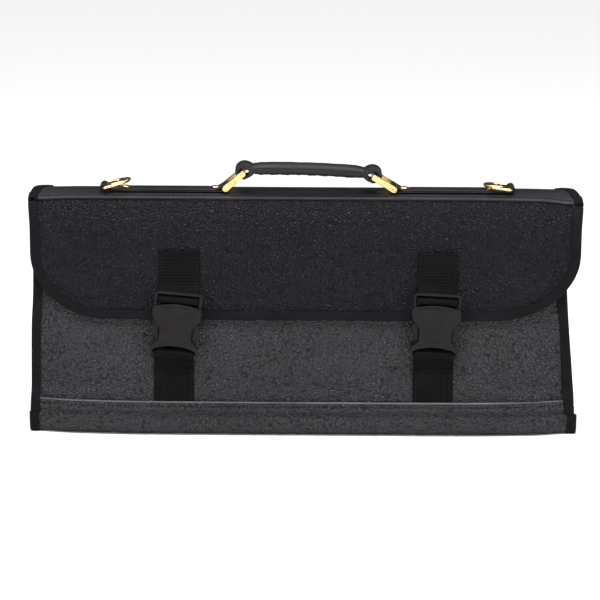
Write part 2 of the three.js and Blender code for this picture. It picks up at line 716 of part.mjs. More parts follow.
// Handle: a rolled grip whose ends turn round the rings' bars in flat loops
function handle() {
  const bars = SIDES.map((side) => {
    const lean = radians(side.ringLean);
    return {
      x: side.handlePin - side.sign * RING_LENGTH * Math.cos(lean),
      z: pinHeight + RING_LENGTH * Math.sin(lean),
      sign: side.sign,
    };
  });
  const inside = LOOP_RADIUS - LOOP_WALL;
  const along = LOOP_PLAY_ALONG * (inside * LOOP_STRETCH - PIN_RADIUS - GAP);
  const up = LOOP_PLAY_UP * (inside - PIN_RADIUS - GAP);
  const eyes = bars.map((bar) => ({ x: bar.x - bar.sign * along, z: bar.z + up, grip: bar.z + GRIP_RISE }));
  const from = eyes[0].x + LOOP_RADIUS * LOOP_STRETCH - LOOP_WALL / 2;
  const to = eyes[1].x - LOOP_RADIUS * LOOP_STRETCH + LOOP_WALL / 2;
  const rings = [];
  const steps = 12;
  const sides = 12;
  for (let i = 0; i <= steps; i++) {
    const t = i / steps;
    const x = from + (to - from) * t;
    const z = eyes[0].grip + (eyes[1].grip - eyes[0].grip) * t + GRIP_ARCH * 4 * t * (1 - t);
    const full = GRIP_END_SHARE + (1 - GRIP_END_SHARE) * Math.min(1, Math.sin(Math.PI * t) * 3);
    rings.push(
      Array.from({ length: sides }, (_, j) => {
        const angle = ((j + 0.5) / sides) * 2 * Math.PI;
        const round = (v) => Math.sign(v) * Math.abs(v) ** 0.75;
        const y = (GRIP_WIDTH / 2) * round(Math.cos(angle));
        return new THREE.Vector3(x, y, z + (GRIP_HEIGHT / 2) * full * round(Math.sin(angle)));
      }),
    );
  }
  const oval = (eye, radius, width) => rod(radius, width, 20).scale(LOOP_STRETCH, 1, 1).translate(eye.x, 0, eye.z);
  const loops = eyes.map((eye) => oval(eye, LOOP_RADIUS, STRAP_WIDTH));
  const holes = eyes.map((eye) => oval(eye, inside, STRAP_WIDTH + 2 * GRIP_WIDTH));
  const made = join(loft(rings), ...loops);
  return geometryOf(holes.map(solidOf).reduce((solid, hole) => solid.subtract(hole), made));
}
addPiece("handle", handle(), smoothLeather).position.y = STRAP_LINE;

// Half of the socket's outline, from the middle of its mouth to its foot, in shares of its half width and length
const SOCKET_OUTLINE = [
  { across: 0.0, down: 0.0 },
  { across: 0.5, down: 0.02 },
  { across: 0.98, down: 0.085 },
  { across: 1.0, down: 0.13 },
  { across: 0.985, down: 0.22 },
  { across: 0.93, down: 0.3 },
  { across: 0.78, down: 0.375 },
  { across: 0.67, down: 0.45 },
  { across: 0.645, down: 0.54 },
  { across: 0.66, down: 0.645 },
  { across: 0.74, down: 0.735 },
  { across: 0.89, down: 0.795 },
  { across: 0.96, down: 0.86 },
  { across: 0.93, down: 0.94 },
  { across: 0.84, down: 1.0 },
];

// Socket of a buckle in its own frame: X across, Y up from the mouth, Z out from its back
function socket() {
  const half = SOCKET_OUTLINE.map((row) => [row.across * SOCKET_HALF_WIDTH, -row.down * BUCKLE_LENGTH]);
  const mirrored = half.slice(1).map(([x, y]) => [-x, y]);
  const inset = WEB_SLOT_HALF;
  const slotTop = -SLOT_TOP_SHARE * BUCKLE_LENGTH;
  const blank = solidOf(
    extruded([...half, ...mirrored.reverse()], BUCKLE_THICKNESS - 2 * BUCKLE_BEVEL, {
      bevelEnabled: true,
      bevelThickness: BUCKLE_BEVEL,
      bevelSize: BUCKLE_BEVEL,
      bevelOffset: -BUCKLE_BEVEL,
      bevelSegments: 1,
    }).translate(0, 0, BUCKLE_BEVEL),
  );
  const crown = rod(BUCKLE_CROWN_RADIUS, 4 * BUCKLE_LENGTH, 96)
    .rotateY(Math.PI / 96)
    .translate(0, 0, BUCKLE_THICKNESS - BUCKLE_CROWN_RADIUS);
  const cavityFloor = FRAME_BACK - GAP;
  const cavityRoof = FRAME_BACK + FRAME_THICKNESS + GAP;
  const wide = 2 * SOCKET_HALF_WIDTH;
  const cuts = [
    box(-wide, wide, -MOUTH_SHARE * BUCKLE_LENGTH, BUCKLE_LENGTH, -1, cavityRoof),
    box(
      SOCKET_CHEEK - SOCKET_HALF_WIDTH,
      SOCKET_HALF_WIDTH - SOCKET_CHEEK,
      -WINDOW_FOOT_SHARE * BUCKLE_LENGTH,
      BUCKLE_LENGTH,
      cavityFloor,
      cavityRoof,
    ),
    box(
      -wide,
      wide,
      -WINDOW_FOOT_SHARE * BUCKLE_LENGTH,
      -WINDOW_TOP_SHARE * BUCKLE_LENGTH,
      cavityFloor,
      cavityRoof,
    ),
    box(-inset, inset, -2 * BUCKLE_LENGTH, slotTop, -1, BUCKLE_THICKNESS + 1),
  ];
  const body = cuts.reduce((made, cut) => made.subtract(solidOf(cut)), blank.intersect(solidOf(crown)));
  const bar = rod(BAR_RADIUS, 2 * inset + SOCKET_WALL, 10)
    .rotateZ(Math.PI / 2)
    .translate(0, lowerBar.y, lowerBar.z);
  return geometryOf(body.add(solidOf(bar)));
}

// Bars that the webbing turns round, in the buckle's frame
const upperBar = { y: UPPER_BAR_RISE, z: FRAME_BACK + BAR_RADIUS };
const lowerBar = { y: -LOWER_BAR_SHARE * BUCKLE_LENGTH, z: BAR_RADIUS + 0.6 };

// Half of one release arm's outline, in millimetres across and shares of the buckle's length down
const ARM_OUTLINE = [
  { across: 15.5, down: 0.1 },
  { across: 17.2, down: 0.3 },
  { across: 21.6, down: 0.385 },
  { across: 21.2, down: 0.58 },
  { across: 17.6, down: 0.7 },
  { across: 15.6, down: 0.66 },
  { across: 16.6, down: 0.5 },
  { across: 12.0, down: 0.3 },
  { across: 11.5, down: 0.1 },
];

// Plug of a buckle: the frame that the flap's webbing turns round, its base and two release arms
function plug() {
  const base = -MOUTH_SHARE * BUCKLE_LENGTH + GAP;
  const inside = WEB_SLOT_HALF;
  const top = FRAME_RISE;
  const corner = 3;
  const outline = new THREE.Shape();
  outline.moveTo(-FRAME_HALF_WIDTH, base);
  outline.lineTo(FRAME_HALF_WIDTH, base);
  outline.lineTo(FRAME_HALF_WIDTH, top - corner);
  outline.quadraticCurveTo(FRAME_HALF_WIDTH - 0.5, top - 0.4, FRAME_HALF_WIDTH - corner, top - 0.2);
  outline.quadraticCurveTo(0, top + 1, corner - FRAME_HALF_WIDTH, top - 0.2);
  outline.quadraticCurveTo(0.5 - FRAME_HALF_WIDTH, top - 0.4, -FRAME_HALF_WIDTH, top - corner);
  const frame = new THREE.ExtrudeGeometry(outline, { depth: FRAME_THICKNESS, bevelEnabled: false, curveSegments: 5 });
  const slotFoot = base + FRAME_BAR;
  const slot = box(-inside, inside, slotFoot, top - FRAME_BAR, -1, FRAME_THICKNESS + 1);
  const arm = (side) => {
    const points = ARM_OUTLINE.map((row) => [side * row.across, -row.down * BUCKLE_LENGTH]);
    return extruded(side < 0 ? points.reverse() : points, FRAME_THICKNESS - 2 * GAP).translate(0, 0, GAP);
  };
  const bar = rod(BAR_RADIUS, 2 * inside + 1, 10)
    .rotateZ(Math.PI / 2)
    .translate(0, upperBar.y, BAR_RADIUS);
  const made = solidOf(frame)
    .subtract(solidOf(slot))
    .add(solidOf(bar))
    .add(solidOf(arm(1)))
    .add(solidOf(arm(-1)));
  return geometryOf(made).translate(0, 0, FRAME_BACK);
}

// Outline of a ribbon of a given thickness along a path in a plane, both faces and square ends
function ribbon(path, thickness) {
  const normals = path.map((_, i) => {
    const before = path[Math.max(0, i - 1)];
    const after = path[Math.min(path.length - 1, i + 1)];
    return new THREE.Vector2(-(after[1] - before[1]), after[0] - before[0]).normalize();
  });
  const face = (side) =>
    path.map(([a, b], i) => [a + (side * normals[i].x * thickness) / 2, b + (side * normals[i].y * thickness) / 2]);
  return [...face(1), ...face(-1).reverse()];
}

const tilt = radians(BUCKLE_TILT_DEG);
const buckleTop = BODY_HEIGHT - BUCKLE_TOP_DROP;

// How far out from the centre plane and how high a point of the buckle's frame lies
function fromBuckle(y, z) {
  const s = sectionAt(0.45);
  const back = flapDepth(s, buckleTop) + BUCKLE_STANDOFF;
  return [back + y * Math.sin(tilt) + z * Math.cos(tilt), buckleTop + y * Math.cos(tilt) - z * Math.sin(tilt)];
}

// Points of an arc round a bar, in degrees from straight out, positive upwards
function roundBar([out, z], radius, from, to) {
  const steps = 6;
  return Array.from({ length: steps + 1 }, (_, i) => {
    const angle = radians(from + ((to - from) * i) / steps);
    return [out + radius * Math.cos(angle), z + radius * Math.sin(angle)];
  });
}

const turn = BAR_RADIUS + GAP + WEB / 2;

// Webbing on the flap: sewn on, it passes behind the frame's top, turns round the bar and comes back under itself
function flapWeb(side) {
  const s = sectionAt(side.flapWeb / halfWidth);
  const face = (z) => flapDepth(s, z) + GAP + WEB / 2;
  const top = BODY_HEIGHT - WEB_TOP_DROP;
  const sewnTo = top - WEB_SEWN;
  const bar = fromBuckle(upperBar.y, upperBar.z);
  const frameTop = fromBuckle(FRAME_RISE, FRAME_BACK);
  const outer = frameTop[0] - GAP - WEB / 2;
  return [
    [face(top), top],
    [face((top + sewnTo) / 2), (top + sewnTo) / 2],
    [face(sewnTo), sewnTo],
    [Math.min(face(sewnTo) + WEB + 2 * GAP, outer), (sewnTo + frameTop[1]) / 2],
    [outer, frameTop[1]],
    [outer, frameTop[1] - FRAME_BAR - WEB / 2],
    ...roundBar(bar, turn, 35, -180),
    [face(bar[1] + turn), bar[1] + turn * 1.2],
    [face(frameTop[1]), frameTop[1] - FRAME_BAR / 2],
  ];
}

// Webbing on the foot: its end hangs in front, it loops round the lower bar and runs down to the foot band behind
function footWeb(side) {
  const s = sectionAt(side.footWeb / halfWidth);
  const face = (z) => frontDepth(s, z) + GAP + WEB / 2;
  const bar = fromBuckle(lowerBar.y, lowerBar.z);
  const low = footTop + GAP + 1;
  const ply = WEB + GAP;
  const end = bar[1] - WEB_TAIL;
  const leave = bar[1] - turn * 2;
  return [
    [face(end) + ply, end],
    [face(leave) + ply * 1.2, leave],
    ...roundBar(bar, turn, -30, 180),
    [face(leave) + GAP, leave],
    [face(end), end],
    [face((low + end) / 2), (low + end) / 2],
    [face(low), low],
  ];
}

// How a side's webbing lies across X: plumb on the flap and on the front panel, and leaning through the buckle
function webLine(side) {
  const high = fromBuckle(FRAME_RISE, 0)[1];
  const low = fromBuckle(-BUCKLE_LENGTH, 0)[1];
  const lean = Math.atan2(side.flapWeb - side.footWeb, high - low);
  return {
    lean,
    middle: (z) => THREE.MathUtils.mapLinear(THREE.MathUtils.clamp(z, low, high), low, high, side.footWeb, side.flapWeb),
    leanAt: (z) => lean * Math.max(0, 1 - Math.max(low - z, z - high, 0) / WEB_FREE),
  };
}

// A solid of the webbing's width from an outline given as [out from the front, height]
function webAcross(outline, line) {
  const edge = (side) =>
    outline.map(([out, z]) => {
      const across = (side * WEB_WIDTH) / 2;
      const lean = line.leanAt(z);
      return new THREE.Vector3(line.middle(z) + across * Math.cos(lean), -out, z - across * Math.sin(lean));
    });
  return loft([edge(-1), edge(1)]);
}

for (const side of SIDES) {
  const line = webLine(side);
  const [out, z] = fromBuckle(0, 0);
  for (const [name, made] of [["socket", socket()], ["plug", plug()]]) {
    const piece = addPiece(`buckle_${name}_${side.name}`, made, plastic);
    piece.position.set(line.middle(z), -out, z);
    piece.rotation.set(Math.PI / 2 + tilt, 0, 0);
    piece.rotateZ(-line.lean);
  }
  addPiece(`flap_webbing_${side.name}`, webAcross(ribbon(flapWeb(side), WEB), line), webbing);
  addPiece(`foot_webbing_${side.name}`, webAcross(ribbon(footWeb(side), WEB), line), webbing);
}

export default model;
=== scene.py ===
"""Looks of a black leather knife roll, folded shut and standing on its foot band.

Sizes are in millimetres in the roll's own frame, front towards -Y and +Z up, and meshes are made in metres.
"""

import math

import bmesh
import bpy
import numpy as np
from mathutils import Matrix, Vector


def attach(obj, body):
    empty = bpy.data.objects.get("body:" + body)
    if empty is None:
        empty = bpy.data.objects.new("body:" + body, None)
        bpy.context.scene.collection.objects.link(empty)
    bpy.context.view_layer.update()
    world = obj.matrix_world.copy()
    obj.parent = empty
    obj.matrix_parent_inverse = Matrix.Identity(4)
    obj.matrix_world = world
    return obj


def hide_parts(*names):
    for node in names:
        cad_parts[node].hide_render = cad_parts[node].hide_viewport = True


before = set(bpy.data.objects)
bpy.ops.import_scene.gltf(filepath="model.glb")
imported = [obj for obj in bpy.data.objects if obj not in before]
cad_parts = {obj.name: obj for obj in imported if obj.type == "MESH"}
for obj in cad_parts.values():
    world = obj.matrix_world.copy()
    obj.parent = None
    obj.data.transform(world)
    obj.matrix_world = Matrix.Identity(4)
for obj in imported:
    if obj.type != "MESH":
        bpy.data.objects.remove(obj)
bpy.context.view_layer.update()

# The sheet's sizes
WIDTH = 524.0
HEIGHT = 234.5
FRONT_DEPTH = 34.0
BACK_DEPTH = 31.0
LEATHER = 2.4
GAP = 0.3
LAP = 9.0
JOGGLE = 3.5
FOOT_CORNER = 20.0
FOOT_TOP = 35.5
FRONT_TOP = HEIGHT - 31.0
BAND_BACK = HEIGHT - 13.0 - JOGGLE - LAP
SHOULDER = HEIGHT - 37.0
SEAM_DEPTH = 28.0
BACK_SEAM_DEPTH = 25.0
CREST_BACK = 6.0
FLAP_LOW = HEIGHT - 117.0
FLAP_RISE = 61.0
FLAP_CORNERS = (0.265, 0.31)
TAPE = 0.9
TAPE_WIDTH = 8.0
LAPPED = LEATHER + GAP
WEB = 1.6
WEB_WIDTH = 38.0
FOOT_LIFT = 1.2
CROWN_DROP = 6.0
SEAM_DROOP = 6.5
FLAP_CLEAR = 1.5
FLAP_FLARE = 5.0

# Sections: place along the half width, then foot, belly and top depth, foot lift, seam droop, flap flare
SECTIONS = np.array(
    [
        [-1.0, 0.46, 0.66, 0.86, 1.0, 0.5, 0.6],
        [-0.84, 0.72, 0.86, 0.92, 0.3, 0.06, 0.2],
        [-0.55, 0.88, 1.0, 0.94, 0.0, 0.0, 0.0],
        [0.0, 0.9, 1.03, 0.95, 0.0, 0.0, 0.0],
        [0.55, 0.9, 1.02, 0.94, 0.0, 0.0, 0.0],
        [0.84, 0.76, 0.88, 0.92, 0.0, 0.2, 0.4],
        [1.0, 0.46, 0.66, 0.86, 0.5, 1.0, 1.0],
    ]
)

# Reach of the left and right end along the sheet's path
ENDS = np.array(
    [
        [0.0, 0.972, 0.932],
        [0.4, 0.977, 0.94],
        [0.55, 0.984, 0.955],
        [0.83, 0.989, 0.971],
        [1.0, 0.998, 0.992],
        [1.5, 0.972, 0.962],
        [2.0, 0.945, 0.935],
        [2.45, 0.98, 0.975],
        [3.0, 0.99, 0.995],
        [4.0, 0.983, 0.988],
    ]
)

# Dents and bulges: middle across and up, spread along and over, turn in degrees, and how far they stand out.
# They are shares of the half width, the height and the half depth.
FRONT_DENTS = [
    (-0.84, 0.2, 0.15, 0.045, 6, -0.075),
    (-0.8, 0.3, 0.17, 0.06, 35, -0.04),
    (-0.93, 0.29, 0.1, 0.06, 40, 0.03),
    (-0.8, 0.43, 0.14, 0.07, -20, 0.03),
    (-0.02, 0.34, 0.27, 0.11, 0, 0.035),
    (0.73, 0.43, 0.11, 0.08, 10, 0.03),
    (0.88, 0.2, 0.13, 0.045, -8, -0.075),
    (0.94, 0.31, 0.13, 0.05, 62, -0.05),
]
FLAP_DENTS = [
    (-0.88, 0.78, 0.1, 0.05, -25, 0.03),
    (-0.76, 0.66, 0.14, 0.07, 8, 0.02),
    (0.02, 0.68, 0.22, 0.1, 0, 0.025),
    (0.74, 0.6, 0.12, 0.06, 4, 0.035),
    (0.9, 0.76, 0.06, 0.05, 55, -0.03),
]
BACK_DENTS = [
    (-0.5, 0.5, 0.35, 0.18, 10, -0.05),
    (0.55, 0.4, 0.3, 0.16, -8, -0.055),
    (0.0, 0.62, 0.4, 0.14, 3, 0.04),
]
SEAM_HOLD = 14.0

# Small creases and puckers that only the eye needs: the same columns, with heights in millimetres
FRONT_CREASES = [
    (-0.9, 0.235, 0.09, 0.012, 22, -0.7),
    (-0.8, 0.25, 0.1, 0.014, 14, 0.6),
    (-0.72, 0.225, 0.12, 0.014, 4, -0.55),
    (-0.9, 0.37, 0.1, 0.02, 48, -0.45),
    (-0.66, 0.3, 0.08, 0.02, 30, -0.35),
    (-0.2, 0.2, 0.16, 0.018, 2, -0.4),
    (0.1, 0.24, 0.2, 0.02, -3, 0.35),
    (0.24, 0.19, 0.13, 0.014, -2, -0.4),
    (0.7, 0.22, 0.1, 0.014, -6, -0.5),
    (0.83, 0.245, 0.12, 0.014, -10, 0.6),
    (0.9, 0.36, 0.1, 0.018, 66, -0.55),
    (0.955, 0.28, 0.07, 0.014, 74, 0.5),
]
FLAP_CREASES = [
    (-0.9, 0.72, 0.05, 0.02, 58, -0.5),
    (-0.8, 0.8, 0.1, 0.02, -12, 0.4),
    (-0.3, 0.815, 0.2, 0.016, -2, -0.3),
    (0.3, 0.81, 0.22, 0.018, 2, 0.35),
    (0.68, 0.565, 0.1, 0.016, 6, -0.4),
    (0.86, 0.63, 0.07, 0.018, 38, 0.45),
    (0.93, 0.7, 0.06, 0.016, 68, -0.5),
    (-0.62, 0.56, 0.12, 0.018, -5, -0.3),
]


def unit(v):
    """Vectors of length 1 along the last axis."""
    return v / np.maximum(np.linalg.norm(v, axis=-1, keepdims=True), 1e-9)


def circle(steps):
    return np.arange(steps) / steps * 2 * np.pi


def travelled(points):
    """Distance along a polyline at each of its points."""
    return np.concatenate([[0], np.cumsum(np.linalg.norm(np.diff(points, axis=0), axis=1))])


def blend_table(table, column, at):
    """Value of a table's column at a place, by the monotone cubic that the solids use."""
    places, values = table[:, 0], table[:, column]
    at = np.clip(at, places[0], places[-1])
    i = np.clip(np.searchsorted(places, at, side="left") - 1, 0, len(places) - 2)
    span = np.diff(places)
    slope = np.diff(values) / span
    tangent = np.zeros(len(places))
    for k in range(1, len(places) - 1):
        a, b = slope[k - 1], slope[k]
        if a * b > 0:
            tangent[k] = 2 * a * b / (a + b)
    t = (at - places[i]) / span[i]
    rise = 3 * t**2 - 2 * t**3
    bend = tangent[i] * (t - 2 * t**2 + t**3) + tangent[i + 1] * (t**3 - t**2)
    return values[i] * (1 - rise) + values[i + 1] * rise + span[i] * bend


def smooth(t):
    t = np.clip(t, 0, 1)
    return t * t * (3 - 2 * t)


def pressed(marks, u, z, unit=FRONT_DEPTH):
    """How far marks move a wall out, in millimetres. The foot band's seam holds it still."""
    out = 0.0
    for across, up, wide, tall, turn, height in marks:
        a = math.radians(turn)
        x, y = (u - across) * WIDTH / 2, z - up * HEIGHT
        p = (x * math.cos(a) + y * math.sin(a)) / (wide * WIDTH / 2)
        q = (y * math.cos(a) - x * math.sin(a)) / (tall * HEIGHT)
        out = out + height * unit * np.exp(-p * p - q * q)
    return out * smooth((z - FOOT_TOP) / SEAM_HOLD)


def reach(u, path):
    """How far the sheet reaches to the left or right at a place along its path."""
    return WIDTH / 2 * np.where(u < 0, blend_table(ENDS, 1, path), blend_table(ENDS, 2, path))


def depth_share(u, z):
    """Share of the full depth at a section and height, from foot, belly and top."""
    foot, belly, top = (blend_table(SECTIONS, k, u) for k in (1, 2, 3))
    middle = HEIGHT / 2
    low = np.clip((z - FOOT_CORNER) / (middle - FOOT_CORNER), 0, 1)
    high = np.clip((z - middle) / (HEIGHT - middle), 0, 1)
    below = foot + (belly - foot) * np.sin(low * np.pi / 2)
    above = top + (belly - top) * np.cos(high * np.pi / 2)
    return np.where(z < middle, below, above)


def front_depth(u, z):
    return FRONT_DEPTH * depth_share(u, z) + pressed(FRONT_DENTS, u, z) + pressed(FRONT_CREASES, u, z, 1.0)


def back_depth(u, z):
    return BACK_DEPTH * depth_share(u, z) + pressed(BACK_DENTS, u, z)


def flap_depth(u, z):
    flat = FRONT_DEPTH * depth_share(u, z) + FLAP_CLEAR + LEATHER + FLAP_FLARE * blend_table(SECTIONS, 6, u)
    return flat + pressed(FLAP_DENTS, u, z) + pressed(FLAP_CREASES, u, z, 1.0)


def flap_edge(u):
    """Height of the flap's lower edge, which rises in a quarter ellipse at each corner."""
    run = np.where(u < 0, FLAP_CORNERS[0], FLAP_CORNERS[1])
    t = np.clip((np.abs(u) - (1 - run)) / run, 0, 1)
    return FLAP_LOW + FLAP_RISE * (1 - np.sqrt(1 - t * t))


def crown(u, y):
    """Height and slope of the roll's top at a depth."""
    drop = (CROWN_DROP + SEAM_DROOP * blend_table(SECTIONS, 5, u)) / (SEAM_DEPTH + CREST_BACK) ** 2
    return HEIGHT - drop * (y - CREST_BACK) ** 2, -2 * drop * (y - CREST_BACK)


def bezier(a, b, c, d, t):
    return [
        (1 - t) ** 3 * p + 3 * (1 - t) ** 2 * t * q + 3 * (1 - t) * t**2 * r + t**3 * s
        for p, q, r, s in zip(a, b, c, d)
    ]


def sheet_rows(u):
    """Fine rows (y, z, path) of the sheet's outer face over all sections, and where each named row is."""
    rows, names = [], {}
    top = blend_table(SECTIONS, 3, u)
    lift = FOOT_LIFT * blend_table(SECTIONS, 4, u)
    depth_at = {-1: lambda z: -front_depth(u, z), 1: lambda z: back_depth(u, z)}

    def add(y, z, path, name=None):
        if name:
            names[name] = len(rows)
        rows.append(np.stack(np.broadcast_arrays(y, z + 0 * u, path), axis=-1))

    def wall(side, z0, z1, steps, first=None, skip=0):
        for i in range(skip, steps):
            z = z0 + (z1 - z0) * i / steps
            add(depth_at[side](z), z, 1 + side * z / HEIGHT, first if i == skip else None)

    wall(-1, FRONT_TOP, FOOT_TOP + JOGGLE, 56, "front_top")
    wall(-1, FOOT_TOP + JOGGLE, FOOT_TOP, 2)
    wall(-1, FOOT_TOP, FOOT_TOP - LAP, 6, "foot_front")
    wall(-1, FOOT_TOP - LAP, FOOT_TOP - LAP - JOGGLE, 3, "front_low")
    wall(-1, FOOT_TOP - LAP - JOGGLE, FOOT_CORNER, 2, "foot_front_joggle")
    for side, order in ((-1, range(12, -1, -1)), (1, range(0, 13))):
        depth = depth_at[side](FOOT_CORNER)
        for i in order:
            angle = i / 12 * math.pi / 2
            add(0.5 * depth * (1 + math.sin(angle)), FOOT_CORNER - (FOOT_CORNER - lift) * math.cos(angle), 1)
        if side < 0:
            for share in (0.25, 0.0, -0.25):
                add(share * depth, lift, 1)
    wall(1, FOOT_CORNER, FOOT_TOP - LAP - JOGGLE, 2, None, 1)
    wall(1, FOOT_TOP - LAP - JOGGLE, FOOT_TOP - LAP, 3, "foot_back_joggle")
    wall(1, FOOT_TOP - LAP, FOOT_TOP, 6, "back_low")
    wall(1, FOOT_TOP, FOOT_TOP + JOGGLE, 2, "foot_back")
    wall(1, FOOT_TOP + JOGGLE, BAND_BACK - JOGGLE, 48)
    wall(1, BAND_BACK - JOGGLE, BAND_BACK, 2)
    wall(1, BAND_BACK, BAND_BACK + LAP, 6, "band_back")
    bend = BAND_BACK + LAP + JOGGLE
    wall(1, BAND_BACK + LAP, bend, 3, "back_top")
    depth = back_depth(u, bend)
    seam = BACK_SEAM_DEPTH * top
    z, slope = crown(u, seam)
    points = ((depth, bend), (depth, bend + 6.5), (seam + 3.25, z + slope * 3.25), (seam, z))
    for i in range(11):
        y, z = bezier(*points, i / 10)
        add(y, z, 2 + 0.01 * i, "band_back_joggle" if i == 0 else None)

    def over(a, b, steps, first=None):
        for i in range(1, steps + 1):
            share = a + (b - a) * i / steps
            y = -share * top
            path = 2.1 + 0.9 * (share + BACK_SEAM_DEPTH) / (SEAM_DEPTH + BACK_SEAM_DEPTH)
            add(y, crown(u, y)[0], path, first if i == steps else None)

    over(-BACK_SEAM_DEPTH, SEAM_DEPTH - LAP - JOGGLE, 12, "band_front_joggle")
    over(SEAM_DEPTH - LAP - JOGGLE, SEAM_DEPTH - LAP, 3, "flap_top")
    over(SEAM_DEPTH - LAP, SEAM_DEPTH, 6, "band_front")
    y, z = rows[-1][:, 0], rows[-1][:, 1]
    slope = crown(u, y)[1]
    end = -flap_depth(u, SHOULDER)
    points = ((y, z), (y - 6, z - slope * 6), (end, SHOULDER + 12), (end, SHOULDER))
    for i in range(1, 17):
        t = 0.04 + 0.96 * (i - 1) / 15
        y, z = bezier(*points, t)
        add(y, z, 3 + t, {1: "flap_start", 16: "shoulder"}.get(i))
    low = np.minimum(flap_edge(u), SHOULDER - LEATHER)
    for i in range(1, 41):
        z = SHOULDER + (low - SHOULDER) * i / 40
        add(-flap_depth(u, z), z, 4, "flap_low" if i == 40 else None)
    return np.stack(rows, axis=1), names


def stations():
    """Sections along X, close together round the flap's corners."""
    out = {-1.0, 1.0, -(1 - 2 * TAPE_WIDTH / WIDTH), 1 - 2 * TAPE_WIDTH / WIDTH}
    for side, run in ((-1, FLAP_CORNERS[0]), (1, FLAP_CORNERS[1])):
        out |= {side * (1 - run * (1 - math.sin(math.radians(a)))) for a in range(0, 88, 4)}
    out |= set(np.linspace(-1, 1, 141))
    return np.array(sorted(out))


def grid_normals(p):
    return unit(np.cross(np.gradient(p, axis=1), np.gradient(p, axis=0)))


U = stations()
raw, ROW = sheet_rows(U)
SHEET = np.stack([U[:, None] * reach(U[:, None], raw[:, :, 2]), raw[:, :, 0], raw[:, :, 1]], axis=2)
NORMAL = grid_normals(SHEET)
if NORMAL[len(U) // 2, 20, 1] > 0:
    NORMAL = -NORMAL


def front_face(x, z, flap):
    """Point and normal of the flap's or the front panel's outer face, straight behind a place in X and Z."""
    x, z = np.broadcast_arrays(np.asarray(x, float), np.asarray(z, float))

    def surface(x, z):
        path = 4.0 if flap else 1 - z / HEIGHT
        half = np.where(x < 0, reach(-1.0, path), reach(1.0, path))
        u = np.clip(x / half, -1, 1)
        return -flap_depth(u, z) if flap else -front_depth(u, z)

    y = surface(x, z)
    n = np.stack([surface(x + 1, z) - y, -np.ones_like(y), surface(x, z + 1) - y], axis=-1)
    return np.stack([x, y, z], axis=-1), unit(n)


def new_object(name, mesh):
    """An object in the scene with its faces turned outward."""
    bm = bmesh.new()
    bm.from_mesh(mesh)
    bmesh.ops.recalc_face_normals(bm, faces=bm.faces)
    bm.to_mesh(mesh)
    bm.free()
    obj = bpy.data.objects.new(name, mesh)
    bpy.context.collection.objects.link(obj)
    return obj


def piece(name, verts, faces, material, body="roll", replaces=(), slot=None, uv=None, sharp=38):
    """A mesh object in metres that rides on a body."""
    mesh = bpy.data.meshes.new(name)
    faces = [tuple(int(i) for i in face) for face in faces]
    mesh.from_pydata([tuple(v) for v in np.asarray(verts) * 0.001], [], faces)
    mesh.materials.append(material)
    mesh.polygons.foreach_set("use_smooth", [True] * len(mesh.polygons))
    if uv is not None:
        layer = mesh.uv_layers.new(name="flow")
        index = np.empty(len(mesh.loops), dtype=int)
        mesh.loops.foreach_get("vertex_index", index)
        layer.data.foreach_set("uv", (np.asarray(uv)[index] * 0.001).ravel())
    obj = new_object(name, mesh)
    mesh.set_sharp_from_angle(angle=math.radians(sharp))
    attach(obj, body)
    if replaces:
        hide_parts(*replaces)
    return obj


def skin(outer, inner):
    """Closed quads between two grids of points of the same size, with rims round their four edges."""
    n, m = outer.shape[:2]
    base = n * m
    at = np.arange(base).reshape(n, m)
    quads = np.stack([at[:-1, :-1], at[1:, :-1], at[1:, 1:], at[:-1, 1:]], axis=-1).reshape(-1, 4)
    faces = [quads, quads[:, ::-1] + base]
    loop = np.concatenate([at[:, 0], at[-1, 1:], at[-2::-1, -1], at[0, -2:0:-1]])
    after = np.roll(loop, -1)
    faces.append(np.stack([loop, loop + base, after + base, after], axis=-1))
    return np.concatenate([outer.reshape(-1, 3), inner.reshape(-1, 3)]), np.concatenate(faces)


def tube(rings, closed=False):
    """Quads through rings of points, each a closed loop, with fans over open ends."""
    n, m = rings.shape[:2]
    at = np.arange(n * m).reshape(n, m)
    after = np.roll(at, -1, axis=1)
    a, b = (at, np.roll(at, -1, axis=0)) if closed else (at[:-1], at[1:])
    c, d = (after, np.roll(after, -1, axis=0)) if closed else (after[:-1], after[1:])
    faces = [list(q) for q in np.stack([a, b, d, c], axis=-1).reshape(-1, 4)]
    verts = rings.reshape(-1, 3)
    if not closed:
        verts = np.concatenate([verts, rings[0].mean(axis=0)[None], rings[-1].mean(axis=0)[None]])
        for ring, middle in ((at[0], n * m), (at[-1], n * m + 1)):
            faces += [[ring[i], ring[(i + 1) % m], middle] for i in range(m)]
    return verts, faces


def resample(points, step, closed=False):
    """Evenly spaced points along a polyline of any dimension."""
    points = np.asarray(points, float)
    if closed:
        points = np.concatenate([points, points[:1]])
    length = travelled(points)
    count = max(2, int(round(length[-1] / step)) + 1)
    at = np.linspace(0, length[-1], count)[: -1 if closed else None]
    return np.stack([np.interp(at, length, points[:, k]) for k in range(points.shape[1])], axis=1)


